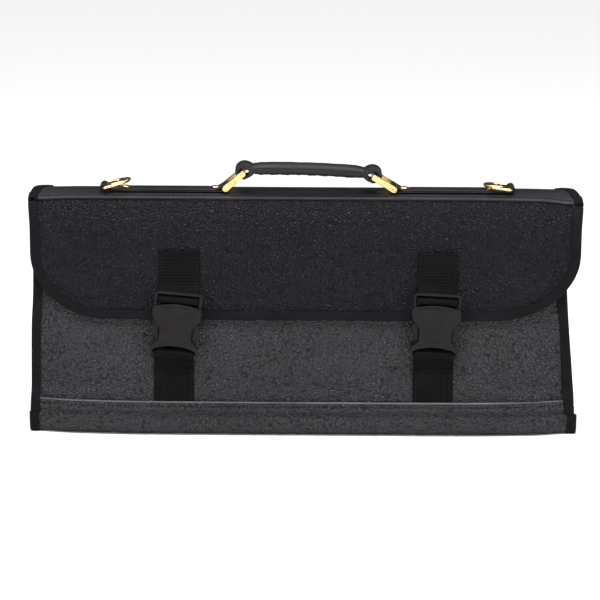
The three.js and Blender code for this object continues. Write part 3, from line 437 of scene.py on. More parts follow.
def curve(points, step, closed=False):
    """Evenly spaced points on a centripetal Catmull-Rom curve through some points."""
    p = np.asarray(points, float)
    if closed:
        ring = np.concatenate([p[-1:], p, p[:2]])
    else:
        ring = np.concatenate([2 * p[:1] - p[1:2], p, 2 * p[-1:] - p[-2:-1]])
    out = []
    for a, b, c, d in zip(ring[:-3], ring[1:-2], ring[2:-1], ring[3:]):
        t1 = np.linalg.norm(b - a) ** 0.5 + 1e-9
        t2 = t1 + np.linalg.norm(c - b) ** 0.5 + 1e-9
        t3 = t2 + np.linalg.norm(d - c) ** 0.5 + 1e-9
        t = np.linspace(t1, t2, 13)[:-1, None]
        ab = a * (t1 - t) / t1 + b * t / t1
        bc = b * (t2 - t) / (t2 - t1) + c * (t - t1) / (t2 - t1)
        cd = c * (t3 - t) / (t3 - t2) + d * (t - t2) / (t3 - t2)
        abc = ab * (t2 - t) / t2 + bc * t / t2
        bcd = bc * (t3 - t) / (t3 - t1) + cd * (t - t1) / (t3 - t1)
        out.append(abc * (t2 - t) / (t2 - t1) + bcd * (t - t1) / (t2 - t1))
    out = np.concatenate(out + ([] if closed else [p[-1:]]))
    return resample(out, step, closed)


THREAD = []


def stitches(points, normals, pitch=4.0, share=0.72, radius=0.42):
    """Adds a row of stitches over a line of surface points. They are joined into one piece at the end."""
    both = resample(np.concatenate([points, normals * 1e-6], axis=1), pitch)
    p, n = both[:, :3], unit(both[:, 3:] * 1e6)
    along = p[1:] - p[:-1]
    middle = (p[1:] + p[:-1]) / 2
    up = unit(n[:-1] + n[1:])
    side = unit(np.cross(along, up))
    for m, a, w, h in zip(middle, along, side, up):
        THREAD.append((m, a * share / 2, w * radius, h * radius))


def sew(name, material):
    """One mesh of all the stitches so far."""
    t = np.array([-1, -0.82, -0.4, 0, 0.4, 0.82, 1])
    size = np.array([0.25, 0.8, 1, 1, 1, 0.8, 0.25])
    lift = np.array([-0.9, -0.1, 0.45, 0.6, 0.45, -0.1, -0.9])
    angle = circle(6)
    verts, faces = [], []
    for m, a, w, h in THREAD:
        rings = (
            m
            + t[:, None, None] * a
            + (size[:, None] * np.cos(angle))[:, :, None] * w
            + (size[:, None] * np.sin(angle) + lift[:, None])[:, :, None] * h
        )
        v, f = tube(rings)
        start = len(verts) * len(v)
        verts.append(v)
        faces += [[i + start for i in q] for q in f]
    return piece(name, np.concatenate(verts), faces, material, slot="tape", sharp=180)


def ring_of(path, thickness, closed=False):
    """Points either side of a path in a plane."""
    if closed:
        along = np.roll(path, -1, axis=0) - np.roll(path, 1, axis=0)
    else:
        along = np.gradient(path, axis=0)
    along = unit(along)
    side = np.stack([-along[:, 1], along[:, 0]], axis=1)
    return path + side * thickness / 2, path - side * thickness / 2


# Materials


class Nodes:
    """A short way to write a node tree."""

    def __init__(self, name):
        self.material = bpy.data.materials.new(name)
        self.material.use_nodes = True
        self.tree = self.material.node_tree
        self.shader = self.tree.nodes["Principled BSDF"]

    def add(self, kind, inputs=None, **settings):
        node = self.tree.nodes.new(kind)
        for key, value in settings.items():
            setattr(node, key, value)
        for key, value in (inputs or {}).items():
            self.put(node.inputs[key], value)
        return node

    def put(self, socket, value):
        if isinstance(value, bpy.types.NodeSocket):
            self.tree.links.new(value, socket)
        else:
            socket.default_value = value

    def math(self, operation, a, b=0.0, c=0.0):
        node = self.add("ShaderNodeMath", {0: a, 1: b, 2: c}, operation=operation)
        return node.outputs[0]

    def vector(self, operation, inputs):
        return self.add("ShaderNodeVectorMath", inputs, operation=operation).outputs[0]

    def place(self, stretch=(1, 1, 1), flow=False):
        if flow:
            source = self.add("ShaderNodeUVMap", uv_map="flow").outputs["UV"]
        else:
            source = self.add("ShaderNodeTexCoord").outputs["Object"]
        return self.add("ShaderNodeMapping", {"Vector": source, "Scale": stretch}).outputs["Vector"]

    def noise(self, at, scale, detail=3.0, rough=0.55):
        inputs = {"Vector": at, "Scale": scale, "Detail": detail, "Roughness": rough}
        return self.add("ShaderNodeTexNoise", inputs).outputs["Fac"]

    def voronoi(self, at, scale, feature="SMOOTH_F1"):
        node = self.add("ShaderNodeTexVoronoi", {"Vector": at, "Scale": scale}, feature=feature)
        return node.outputs["Distance"]

    def wave(self, at, pitch, distortion, direction):
        """Bands that repeat at a pitch in millimetres."""
        inputs = {"Vector": at, "Scale": 1000 / pitch / math.tau, "Distortion": distortion}
        return self.add("ShaderNodeTexWave", inputs, bands_direction=direction).outputs["Fac"]

    def bent(self, at, amount, scale):
        """A place that noise pushes about."""
        inputs = {"Vector": at, "Scale": scale, "Detail": 2.0}
        noise = self.add("ShaderNodeTexNoise", inputs).outputs["Color"]
        push = self.vector("SUBTRACT", {0: noise, 1: (0.5, 0.5, 0.5)})
        return self.vector("ADD", {0: at, 1: self.vector("SCALE", {0: push, "Scale": amount})})

    def spread(self, value, low, high, to_low=0.0, to_high=1.0):
        inputs = {"Value": value, "From Min": low, "From Max": high, "To Min": to_low, "To Max": to_high}
        return self.add("ShaderNodeMapRange", inputs, clamp=True).outputs["Result"]

    def colours(self, value, stops):
        node = self.add("ShaderNodeValToRGB", {"Fac": value})
        ramp = node.color_ramp
        while len(ramp.elements) < len(stops):
            ramp.elements.new(0.5)
        for element, (at, colour) in zip(ramp.elements, stops):
            element.position = at
            element.color = (*colour, 1)
        return node.outputs["Color"]

    def bump(self, height, distance, strength=1.0, under=None):
        inputs = {"Height": height, "Distance": distance, "Strength": strength}
        if under is not None:
            inputs["Normal"] = under
        return self.add("ShaderNodeBump", inputs).outputs["Normal"]

    def finish(self, **inputs):
        for key, value in inputs.items():
            self.put(self.shader.inputs[key.replace("_", " ")], value)
        return self.material


GRAIN_SIZE = 2.4
GRAIN_HEIGHT = 0.9


def pebbled_leather(name, low, high, shine):
    """Pebbled leather: rounded grains in wavy rows with fine creases between them. Its colour is lighter on
    the crowns and darker in the creases, partly the grain's own tone and partly a painted highlight on the
    crowns and painted shade in the creases.
    """
    n = Nodes(name)
    at = n.bent(n.place((0.8, 1, 1.1)), 0.0022, 170)
    grain = n.voronoi(at, 1000 / GRAIN_SIZE)
    crease = n.voronoi(at, 1000 / GRAIN_SIZE, feature="DISTANCE_TO_EDGE")
    waves = n.noise(n.bent(n.place((0.5, 1, 1.5)), 0.004, 90), 300, 3)
    fine = n.noise(n.place(), 2300, 2)
    broad = n.noise(n.place(), 14, 4)
    worn = n.noise(n.place(), 42, 3)
    valleys = n.spread(crease, 0.0, 0.16)
    domes = n.spread(grain, 0.15, 0.85, 1, 0.06)
    pebbles = n.math("MULTIPLY", domes, n.math("MULTIPLY_ADD", valleys, 0.7, 0.3))
    relief = n.math("ADD", pebbles, n.math("MULTIPLY", waves, 0.9))
    normal = n.bump(relief, GRAIN_HEIGHT * 0.001, 1.0, n.bump(fine, 0.00006, 0.5))
    patchy = n.math("MULTIPLY_ADD", n.spread(broad, 0.3, 0.7), 0.25, n.spread(worn, 0.3, 0.8, 0.7, 0.9))
    # Lighter crowns and darker creases: the grain's own tone, with a painted highlight on the crowns and
    # painted shade in the creases.
    tone = n.math("MULTIPLY", n.math("POWER", pebbles, 1.2), patchy)
    rough = n.math("ADD", n.spread(pebbles, 0.1, 0.6, 0.5, 0.0), n.spread(worn, 0.3, 0.75, 0.27, 0.19))
    return n.finish(
        Base_Color=n.colours(tone, [(0.0, low), (1.0, high)]),
        Roughness=rough,
        Normal=normal,
        Specular_IOR_Level=shine,
    )


def smooth_leather(name, low=(0.003, 0.003, 0.004), high=(0.012, 0.0114, 0.0145)):
    """Smooth leather with fine creases and long soft folds."""
    n = Nodes(name)
    at = n.bent(n.place(), 0.0008, 500)
    crease = n.voronoi(at, 1250, feature="DISTANCE_TO_EDGE")
    valleys = n.spread(crease, 0.0, 0.25)
    folds = n.noise(n.bent(n.place((0.5, 1, 1)), 0.01, 30), 70, 4)
    broad = n.noise(n.place(), 18, 3)
    normal = n.bump(valleys, 0.00009, 0.8, n.bump(folds, 0.0005, 0.45))
    tone = n.math("MULTIPLY_ADD", valleys, 0.3, n.math("MULTIPLY", n.spread(broad, 0.3, 0.7), 0.6))
    return n.finish(
        Base_Color=n.colours(tone, [(0.0, low), (1.0, high)]),
        Roughness=n.spread(folds, 0.3, 0.7, 0.42, 0.56),
        Normal=normal,
        Specular_IOR_Level=0.28,
    )


def woven(name, rib, low, high, twill=0.6, depth=0.16):
    """Woven tape or webbing: ribs across it, split by a finer twill and softened by fuzz."""
    n = Nodes(name)
    flow = n.place(flow=True)
    ribs = n.wave(flow, rib, 0.4, "Y")
    yarns = n.wave(flow, rib * 0.8, 0.6, "DIAGONAL")
    fuzz = n.noise(n.place(), 1900, 4, 0.7)
    broad = n.noise(n.place(), 30, 3)
    weave = n.math("MULTIPLY_ADD", yarns, twill, ribs)
    relief = n.math("MULTIPLY_ADD", fuzz, 0.5, weave)
    tone = n.math("MULTIPLY_ADD", weave, 0.35, n.math("MULTIPLY", n.spread(broad, 0.3, 0.7), 0.35))
    return n.finish(
        Base_Color=n.colours(tone, [(0.0, low), (1.0, high)]),
        Roughness=n.spread(fuzz, 0.3, 0.7, 0.92, 0.74),
        Normal=n.bump(relief, depth * 0.001, 0.9),
        Specular_IOR_Level=0.08,
    )


def moulded_plastic(name):
    n = Nodes(name)
    spark = n.noise(n.place(), 2400, 3, 0.6)
    broad = n.noise(n.place(), 60, 3)
    dark, light = (0.005, 0.0042, 0.005), (0.009, 0.0078, 0.009)
    return n.finish(
        Base_Color=n.colours(n.spread(broad, 0.3, 0.7), [(0.0, dark), (1.0, light)]),
        Roughness=n.spread(n.math("ADD", spark, n.math("MULTIPLY", broad, 0.6)), 0.5, 1.1, 0.38, 0.52),
        Normal=n.bump(spark, 0.00004, 0.6),
        Specular_IOR_Level=0.13,
    )


def brass(name):
    n = Nodes(name)
    cloud = n.noise(n.bent(n.place(), 0.004, 60), 190, 4)
    scratch = n.noise(n.place((1, 9, 9)), 900, 3)
    tarnish, gold, bright = (0.58, 0.34, 0.11), (0.86, 0.6, 0.25), (0.96, 0.73, 0.36)
    return n.finish(
        Base_Color=n.colours(cloud, [(0.3, tarnish), (0.46, gold), (1.0, bright)]),
        Metallic=1.0,
        Roughness=n.spread(n.math("ADD", cloud, n.math("MULTIPLY", scratch, 0.3)), 0.45, 0.95, 0.16, 0.34),
        Normal=n.bump(scratch, 0.00003, 0.5),
    )


def waxed_thread(name):
    n = Nodes(name)
    twist = n.noise(n.place(), 1500, 2)
    return n.finish(
        Base_Color=n.colours(twist, [(0.3, (0.0015, 0.0015, 0.0016)), (0.8, (0.009, 0.009, 0.0095))]),
        Roughness=0.6,
        Normal=n.bump(twist, 0.00008, 0.7),
        Specular_IOR_Level=0.12,
    )


GRAIN = pebbled_leather("pebbled_leather", (0.0005, 0.0005, 0.0007), (0.046, 0.043, 0.05), 0.2)
# The flap's leather is the panels' leather made darker all over: painted shade on the flap.
GRAIN_SHADED = pebbled_leather("pebbled_leather_painted_shade", (0.0004, 0.0004, 0.0006), (0.012, 0.011, 0.016), 0.1)
FINE = smooth_leather("smooth_leather")
# The rolled edges' leather is much lighter than the bands': a painted highlight along the turned edges.
EDGE_HIGHLIGHT = smooth_leather("painted_edge_highlight", (0.015, 0.014, 0.016), (0.17, 0.16, 0.175))
TAPE_CLOTH = woven("binding_tape", 1.1, (0.0015, 0.0015, 0.0017), (0.009, 0.009, 0.0105))
WEBBING = woven("webbing", 1.5, (0.0006, 0.0006, 0.0006), (0.0045, 0.0047, 0.0047), twill=0.8, depth=0.4)
PLASTIC = moulded_plastic("buckle_plastic")
BRASS = brass("brass")
THREAD_LOOK = waxed_thread("thread")


# The sheet's panels


def lay(first, last, *offsets):
    """Grids between two rows, one for each offset from the sheet, which may change from row to row."""
    part, out = SHEET[:, first : last + 1], NORMAL[:, first : last + 1]
    return [part + out * offset[None, :, None] for offset in offsets]


def panel(name, first, last, material):
    """One layer of leather between two named rows."""
    first, last = ROW[first], ROW[last]
    level = np.zeros(last + 1 - first)
    verts, faces = skin(*lay(first, last, level, level - LEATHER))
    piece(name, verts, faces, material, replaces=(name,), slot="leather")


EDGE_DROP = 0.75
EDGE_SWELL = 0.12


def lapped(name, rows, material, slot):
    """A band whose long edges lap over its neighbours. Its own edges are turned and slightly pressed down."""
    edge_a, step_a, stop_a, stop_b, step_b, edge_b = (ROW[row] for row in rows)
    j = np.arange(edge_a, edge_b + 1)
    rise = np.maximum(1 - smooth((j - step_a) / (stop_a - step_a)), smooth((j - stop_b) / (step_b - stop_b)))
    turned = np.minimum(j - edge_a, edge_b - j)
    outer = LAPPED * rise - EDGE_DROP * (turned == 0) + EDGE_SWELL * (turned == 1)
    verts, faces = skin(*lay(edge_a, edge_b, outer, LAPPED * rise - LEATHER))
    piece(name, verts, faces, material, replaces=(name,), slot=slot)


panel("front_panel", "front_top", "front_low", GRAIN)
panel("back_panel", "back_low", "back_top", GRAIN)
# The flap takes the darker copy of the leather: painted shade.
panel("flap", "flap_top", "flap_low", GRAIN_SHADED)
FOOT_ROWS = ("foot_front", "front_low", "foot_front_joggle", "foot_back_joggle", "back_low", "foot_back")
TOP_ROWS = ("band_back", "back_top", "band_back_joggle", "band_front_joggle", "flap_top", "band_front")
lapped("foot_band", FOOT_ROWS, GRAIN, "leather")
lapped("top_band", TOP_ROWS, FINE, "smooth_leather")


def seam(row, inset, offset):
    """A line of points on the sheet a distance past a named row, with the normals there."""
    row, step = ROW[row], 1 if inset > 0 else -1
    share = abs(inset) / np.linalg.norm(SHEET[:, row + step] - SHEET[:, row], axis=1, keepdims=True)
    j = np.floor(share).astype(int)[:, 0]
    k = np.arange(len(U))
    a, b = SHEET[k, row + step * j], SHEET[k, row + step * (j + 1)]
    points = a + (b - a) * (share - j[:, None]) + NORMAL[:, row] * offset
    return points[2:-2], NORMAL[2:-2, row]


EDGE_RADIUS = 0.75


def turned_edge(name, row, inset):
    """The rolled edge of a lapped sheet, in a leather much lighter than the band: a painted highlight as a
    fine line.
    """
    points, normals = seam(row, inset, LAPPED + 0.3 - EDGE_RADIUS)
    side = np.cross(unit(np.gradient(points, axis=0)), normals)
    turn = circle(10)
    out = np.cos(turn)[None, :, None] * normals[:, None] + np.sin(turn)[None, :, None] * side[:, None]
    piece(name, *tube(points[:, None] + EDGE_RADIUS * out), EDGE_HIGHLIGHT, sharp=60)


turned_edge("foot_band_edge", "foot_front", 0.5)
turned_edge("foot_band_edge_back", "foot_back", -0.5)
for row, inset in (("foot_front", 4.6), ("foot_back", -4.6), ("band_back", 4.6), ("band_front", -3.6)):
    stitches(*seam(row, inset, LAPPED))


# Binding tape


def channel(edge, inward, normal, over):
    """One ring of the tape's folded section. edge is on the sheet's end, inward points along the sheet."""
    low = -LEATHER - 0.4 - TAPE / 2
    high = over + 0.4 + TAPE / 2
    nose = [
        (0.8 - 1.65 * math.sin(a), (low + high) / 2 - (high - low) / 2 * math.cos(a))
        for a in np.linspace(0, math.pi, 9)
    ]
    legs_in = [(8.0, low + 0.1), (6.4, low + 0.2), (4.0, low - 0.1), (2.2, low - 0.05)]
    legs_out = [(2.2, high + 0.05), (4.0, high + 0.12), (6.4, high - 0.2), (8.0, high - 0.1)]
    path = np.array(legs_in + nose + legs_out)
    a, b = ring_of(path, TAPE)
    ring = np.concatenate([a, b[::-1]])
    return edge + ring[:, :1] * inward + ring[:, 1:] * normal, high + TAPE / 2 - 0.2


def bind(name, frames):
    """Tape along a line of frames, with its row of stitches."""
    rings, top = [], []
    for edge, inward, normal, over in frames:
        ring, high = channel(edge, inward, normal, over)
        rings.append(ring)
        top.append((edge + inward * 6.3 + normal * high, normal))
    rings = np.array(rings)
    verts, faces = tube(rings)
    run = travelled(rings[:, 0])
    uv = np.stack(np.broadcast_arrays(travelled(rings[0])[None, :], run[:, None]), axis=-1).reshape(-1, 2)
    uv = np.concatenate([uv, [[0, 0], [0, run[-1]]]])
    piece(name, verts, faces, TAPE_CLOTH, replaces=(name,), slot="tape", uv=uv, sharp=60)
    points, normals = (np.array(v) for v in zip(*top))
    stitches(points, normals, 3.6, radius=0.3)


def over_at(j):
    """How far the layers under the tape stand out at a row."""
    laps = [(ROW[rows[a]], ROW[rows[b]]) for rows in (FOOT_ROWS, TOP_ROWS) for a, b in ((0, 1), (4, 5))]
    near = min(max(a - j, j - b, 0) for a, b in laps)
    return LAPPED * float(1 - smooth(near / 5))


def end_frames(side, first, last, laps=True):
    """Frames of the tape along one end of the sheet, between two rows."""
    end = 0 if side < 0 else -1
    inner = int(np.argmin(np.abs(U - side * (1 - 2 * TAPE_WIDTH / WIDTH))))
    return [
        (SHEET[end, j], unit(SHEET[inner, j] - SHEET[end, j]), NORMAL[inner, j], over_at(j) if laps else 0.0)
        for j in range(first, last + 1)
    ]


def flap_frames():
    """Frames of the tape down one end of the flap, along its curved edge and up the other end."""
    left, right = (end_frames(side, ROW["flap_start"] + 1, ROW["shoulder"], laps=False) for side in (-1, 1))
    edge = resample(SHEET[:, ROW["flap_low"]], 4.0)
    points, normals = front_face(edge[:, 0], edge[:, 2], True)
    inward = np.cross(normals, np.gradient(points, axis=0))
    inward = unit(inward * np.where(inward[:, 2:] < 0, -1.0, 1.0))
    upright = np.abs(inward[:, 2]) < 0.05
    inward[upright] = np.sign(points[upright, :1]) * [-1.0, 0.0, 0.0]
    return left + [(p, i, n, 0.0) for p, i, n in zip(points, inward, normals)] + right[::-1]


for side, name in ((-1, "left"), (1, "right")):
    bind(f"end_binding_{name}", end_frames(side, 0, ROW["band_front"]))
bind("flap_binding", flap_frames())


# Webbing

# Places along X as shares of the half width, and the two rings' angles in degrees
SIDES = {
    "left": dict(sign=-1, flap=-0.45, foot=-0.471, ring=-0.725, pin=-0.287, tilt=15, lean=41),
    "right": dict(sign=1, flap=0.478, foot=0.466, ring=0.742, pin=0.32, tilt=7, lean=31),
}
for side in SIDES.values():
    for key in ("flap", "foot", "ring", "pin"):
        side[key] *= WIDTH / 2

BUCKLE_TOP = HEIGHT - 100.5
BUCKLE_LENGTH = 51.4
PLUG_TOP = 10.6
PLUG_THICK = 4.4
TILT = math.radians(3.5)
FRAME_BACK = 1.9
BAR = 1.7
UPPER_BAR = (3.0, FRAME_BACK + BAR)
LOWER_BAR = (-0.94 * BUCKLE_LENGTH, BAR + 0.6)
TURN = BAR + GAP + WEB / 2
BACK_OF_BUCKLE = float(flap_depth(0.45, BUCKLE_TOP)) + 4.6
WEB_TOP = HEIGHT - 52


def from_buckle(y, z):
    """How far out and how high a point lies, from its place along and out of the tilted buckle."""
    return (
        BACK_OF_BUCKLE + y * math.sin(TILT) + z * math.cos(TILT),
        BUCKLE_TOP + y * math.cos(TILT) - z * math.sin(TILT),
    )

def web_line(side):
    """How much the buckle leans, and the webbing's middle and lean at a height."""
    high, low = from_buckle(PLUG_TOP, 0)[1], from_buckle(-BUCKLE_LENGTH, 0)[1]
    lean = math.atan2(side["flap"] - side["foot"], high - low)

    def middle(z):
        return side["foot"] + (side["flap"] - side["foot"]) * np.clip((z - low) / (high - low), 0, 1)

    def lean_at(z):
        return lean * np.clip(1 - np.maximum(np.maximum(low - z, z - high), 0) / 8, 0, 1)

    return lean, middle, lean_at


def round_bar(bar, radius, start, stop):
    return [
        (bar[0] + radius * math.cos(a), bar[1] + radius * math.sin(a))
        for a in np.radians(np.linspace(start, stop, 15))
    ]


def web_piece(name, path, line):
    """Webbing along a path of (out, height), with rounded edges."""
    _, middle, lean_at = line
    path = resample(np.array(path), 0.9)
    side = ring_of(path, 1.0)[0] - path
    across = np.array([-1, -0.985, -0.95, -0.8, -0.6, -0.4, -0.2, 0, 0.2, 0.4, 0.6, 0.8, 0.95, 0.985, 1])
    across = across * WEB_WIDTH / 2
    thick = WEB * np.array([0.3, 0.7, 1, 1, 0.96, 1, 0.97, 1, 0.97, 1, 0.96, 1, 1, 0.7, 0.3])
    centre, lean = middle(path[:, 1]), lean_at(path[:, 1])
    grids = []
    for sign in (1, -1):
        grid = []
        for w, t in zip(across, thick):
            edge = path + side * sign * t
            x, z = centre + w * np.cos(lean), edge[:, 1] - w * np.sin(lean)
            grid.append(np.stack([x, -edge[:, 0], z], axis=1))
        grids.append(np.array(grid))
    verts, faces = skin(*grids)
    uv = np.stack(np.broadcast_arrays(across[:, None], travelled(path)[None, :]), axis=-1).reshape(-1, 2)
    uv = np.concatenate([uv, uv])
    piece(name, verts, faces, WEBBING, replaces=(name,), slot="webbing", uv=uv, sharp=50)


def web_out(x, z, flap):
    """How far out the middle of webbing lies where it rests on the flap or the front panel."""
    return float(-front_face(x, z, flap)[0][1]) + GAP + WEB / 2


def flap_web(name, side, line):
    """From its seam on the flap over the buckle's upper bar and back down behind itself."""
    x, sewn_to = side["flap"], HEIGHT - 82
    bar = from_buckle(*UPPER_BAR)
    out, high = from_buckle(PLUG_TOP, FRAME_BACK)
    out -= GAP + WEB / 2
    leave = (min(web_out(x, sewn_to, True) + WEB + 2 * GAP, out), (sewn_to + high) / 2)
    path = [(web_out(x, z, True), z) for z in np.linspace(WEB_TOP, sewn_to, 12)]
    path += [leave, (out, high), (out, high - 3.0)]
    path += round_bar(bar, TURN, 35, -180)
    path += [(web_out(x, bar[1] + TURN, True), bar[1] + TURN * 1.2), (web_out(x, high, True), high - 1.1)]
    web_piece(f"flap_webbing_{name}", curve(path, 0.9), line)


def foot_web(name, side, line):
    """From its free end round the buckle's lower bar and down to the foot band."""
    x, ply = side["foot"], WEB + GAP
    bar = from_buckle(*LOWER_BAR)
    end, leave = bar[1] - 14, bar[1] - TURN * 2
    path = [(web_out(x, z, False) + ply * k, z) for z, k in ((end, 1.0), (end + 4, 1.05), (leave, 1.2))]
    path += round_bar(bar, TURN, -30, 180) + [(web_out(x, leave, False) + GAP, leave)]
    path += [(web_out(x, z, False), z) for z in np.linspace(end, FOOT_TOP + GAP, 10)]
    web_piece(f"foot_webbing_{name}", curve(path, 0.9), line)
    return end


def stitch_line(start, stop, flap, pitch=3.4):
    """Stitches straight between two points (x, z) on webbing that lies on the flap or the front panel."""
    line = resample(np.array([start, stop], float), 2.0)
    p, n = front_face(line[:, 0], line[:, 1], flap)
    stitches(p + n * (GAP + WEB), n, pitch, radius=0.36)


for name, side in SIDES.items():
    line = web_line(side)
    flap_web(name, side, line)
    end = foot_web(name, side, line)
    x = side["flap"]
    for w in (-16.6, 16.6):
        stitch_line((x + w, WEB_TOP - 2), (x + w, WEB_TOP - 28), True)
    stitch_line((x - 16.6, WEB_TOP - 2.2), (x + 16.6, WEB_TOP - 2.2), True)
    stitch_line((x - 17, WEB_TOP - 28.4), (x + 17, WEB_TOP - 28.4), True, 3.0)
    x = side["foot"]
    for w in (-16.2, -10.8, 10.8, 16.2):
        stitch_line((x + w, end - 4), (x + w, FOOT_TOP + 1.5), False)
    stitch_line((x - 16.2, end - 4), (x + 16.2, end - 4), False)


# Buckles

# Half outlines: how far across, in shares of the socket's half width or in millimetres for an arm of the plug,
# and how far down in shares of the buckle's length
SOCKET = [(0.0, 0.0), (0.5, 0.02), (0.98, 0.085), (1.0, 0.13), (0.985, 0.22), (0.93, 0.3), (0.78, 0.375)]
SOCKET += [(0.67, 0.45), (0.645, 0.54), (0.66, 0.645), (0.74, 0.735), (0.89, 0.795), (0.96, 0.86)]
SOCKET += [(0.93, 0.94), (0.84, 1.0)]
ARM = [(15.5, 0.1), (17.2, 0.3), (21.6, 0.385), (21.2, 0.58), (17.6, 0.7)]
ARM += [(15.6, 0.66), (16.6, 0.5), (12.0, 0.3), (11.5, 0.1)]
SOCKET_HALF = 23.4
THICK = 9.6


def prism(name, points, low, high):
    """A plain prism over an outline, used as a blank that is cut, joined and then smoothed."""
    n = len(points)
    verts = [(x, y, low) for x, y in points] + [(x, y, high) for x, y in points]
    faces = [list(range(n))[::-1], [n + i for i in range(n)]]
    faces += [[i, (i + 1) % n, n + (i + 1) % n, n + i] for i in range(n)]
    mesh = bpy.data.meshes.new(name)
    mesh.from_pydata([Vector(v) * 0.001 for v in verts], [], faces)
    return new_object(name, mesh)


def block(name, x0, x1, y0, y1, z0, z1):
    return prism(name, [(x0, y0), (x1, y0), (x1, y1), (x0, y1)], z0, z1)


def rod(name, half, y, z, radius):
    points = [(y + radius * math.cos(a), z + radius * math.sin(a)) for a in circle(20)]
    made = prism(name, points, -half, half)
    for v in made.data.vertices:
        v.co = Vector((v.co.z, v.co.x, v.co.y))
    made.data.flip_normals()
    return made


def combine(base, others, operation):
    for other in others:
        modifier = base.modifiers.new("cut", "BOOLEAN")
        modifier.operation = operation
        modifier.object = other
        modifier.solver = "EXACT"
        apply(base)
        bpy.data.objects.remove(other)
    return base


def apply(obj):
    bpy.context.view_layer.update()
    graph = bpy.context.evaluated_depsgraph_get()
    mesh = bpy.data.meshes.new_from_object(obj.evaluated_get(graph))
    obj.modifiers.clear()
    obj.data = mesh


def moulded(obj, voxel, shape=None):
    """Rounds a blank as a moulding: fine even faces, smoothed, then shaped point by point in millimetres."""
    remesh = obj.modifiers.new("fine", "REMESH")
    remesh.mode = "VOXEL"
    remesh.voxel_size = voxel * 0.001
    relax = obj.modifiers.new("relax", "SMOOTH")
    relax.factor = 0.5
    relax.iterations = 3
    apply(obj)
    if shape:
        co = np.empty(len(obj.data.vertices) * 3)
        obj.data.vertices.foreach_get("co", co)
        co = shape(co.reshape(-1, 3) * 1000) * 0.001
        obj.data.vertices.foreach_set("co", co.ravel())
    obj.data.update()
    obj.data.polygons.foreach_set("use_smooth", [True] * len(obj.data.polygons))
    return obj


def socket_blank(name):
    half = [(a * SOCKET_HALF, -d * BUCKLE_LENGTH) for a, d in SOCKET]
    outline = curve(half + [(-x, y) for x, y in half[:0:-1]], 1.2, closed=True)
    base = prism(name, [tuple(p) for p in outline], 0, THICK)
    roof = FRAME_BACK + PLUG_THICK + GAP
    wide, length = 2 * SOCKET_HALF, BUCKLE_LENGTH
    half = 20.2
    lip = [(half, -1.2 * length), (half, -0.885 * length)]
    lip += [(x, -length * (0.80 + 0.085 * (x / half) ** 2)) for x in np.linspace(half, -half, 17)[1:-1]]
    lip += [(-half, -0.885 * length), (-half, -1.2 * length)]
    cuts = [
        block("mouth", -wide, wide, -0.12 * length, length, -1, roof),
        block("inside", 4 - SOCKET_HALF, SOCKET_HALF - 4, -0.72 * length, length, 1.7, roof),
        block("window", -wide, wide, -0.72 * length, -0.32 * length, 1.7, roof),
        prism("slot", lip, -1, THICK + 1),
    ]
    combine(base, cuts, "DIFFERENCE")
    return combine(base, [rod("bar", 21, *LOWER_BAR, BAR)], "UNION")


def socket_shape(p):
    """Crowns the socket's face and scoops the crescent above its slot."""
    x, y, z = p[:, 0], p[:, 1], p[:, 2]
    down = -y / BUCKLE_LENGTH
    top = smooth((z - 6.2) / 3.0)
    crowned = x**2 / 240 + 0.9 * smooth((down - 0.55) / 0.5) + 0.7 * smooth((0.1 - down) / 0.1)
    arc = 0.655 + 0.14 * (np.abs(x) / 15.5) ** 2
    scoop = smooth((down - arc) / 0.012) * (1.0 + 5.0 * np.clip(down - arc, 0, 0.2)) * (np.abs(x) < 19)
    z = z - top * (crowned + scoop * smooth((19 - np.abs(x)) / 3))
    return np.stack([x, y, z], axis=1)


def plug_blank(name):
    length = BUCKLE_LENGTH
    base_y, top, half, r = -0.12 * length + GAP, PLUG_TOP, 22.4, 3.6
    turn = np.radians([0, 20, 40, 60, 80])
    corner = [(half - r + r * math.cos(a), top - r + r * math.sin(a)) for a in turn]
    outline = [(-half, base_y), (half, base_y)] + corner
    outline += [(x, top + 0.45 * (1 - (x / 18) ** 2)) for x in np.linspace(16, -16, 9)]
    outline += [(-x, y) for x, y in corner[::-1]]
    base = prism(name, outline, 0, PLUG_THICK)
    hole = block("slot", -19.9, 19.9, base_y + 2.2, top - 2.0, -1, 6)
    combine(base, [hole], "DIFFERENCE")
    arms = []
    for side in (-1, 1):
        points = curve([(side * x, -d * length) for x, d in ARM], 1.0, closed=True)
        arms.append(prism("arm", [tuple(p) for p in points], GAP, PLUG_THICK - GAP))
    combine(base, arms + [rod("bar", 20.5, UPPER_BAR[0], BAR, BAR)], "UNION")
    for v in base.data.vertices:
        v.co.z += FRAME_BACK * 0.001
    return base


def plug_shape(p):
    x, y, z = p[:, 0], p[:, 1], p[:, 2]
    rim = smooth((y - 6.5) / 3) * 0.5
    return np.stack([x, y, z - rim * smooth((z - 4) / 2)], axis=1)


for name, side in SIDES.items():
    lean, middle, _ = web_line(side)
    out, z = from_buckle(0, 0)
    place = (
        Matrix.Translation(Vector((float(middle(z)), -out, z)) * 0.001)
        @ Matrix.Rotation(math.pi / 2 + TILT, 4, "X")
        @ Matrix.Rotation(-lean, 4, "Z")
    )
    for kind, blank, shape, voxel in (
        ("socket", socket_blank, socket_shape, 0.5),
        ("plug", plug_blank, plug_shape, 0.42),
    ):
        made = moulded(blank(f"buckle_{kind}_{name}_look"), voxel, shape)
        made.data.materials.clear()
        made.data.materials.append(PLASTIC)
        made.data.transform(place)
        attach(made, "roll")
        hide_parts(f"buckle_{kind}_{name}")


# Hardware and handle on the top band

STRAP_LINE = -7.0
STRAP_WIDTH = 20.0
STRAP_PLY = 1.3
PIN_RADIUS = 1.9
EYE_PLAY = 0.4
PIN_Z = HEIGHT + GAP + PIN_RADIUS + EYE_PLAY + 1.4
STRAP_TOP = HEIGHT + GAP + 2.8
RING_LENGTH = 22.0


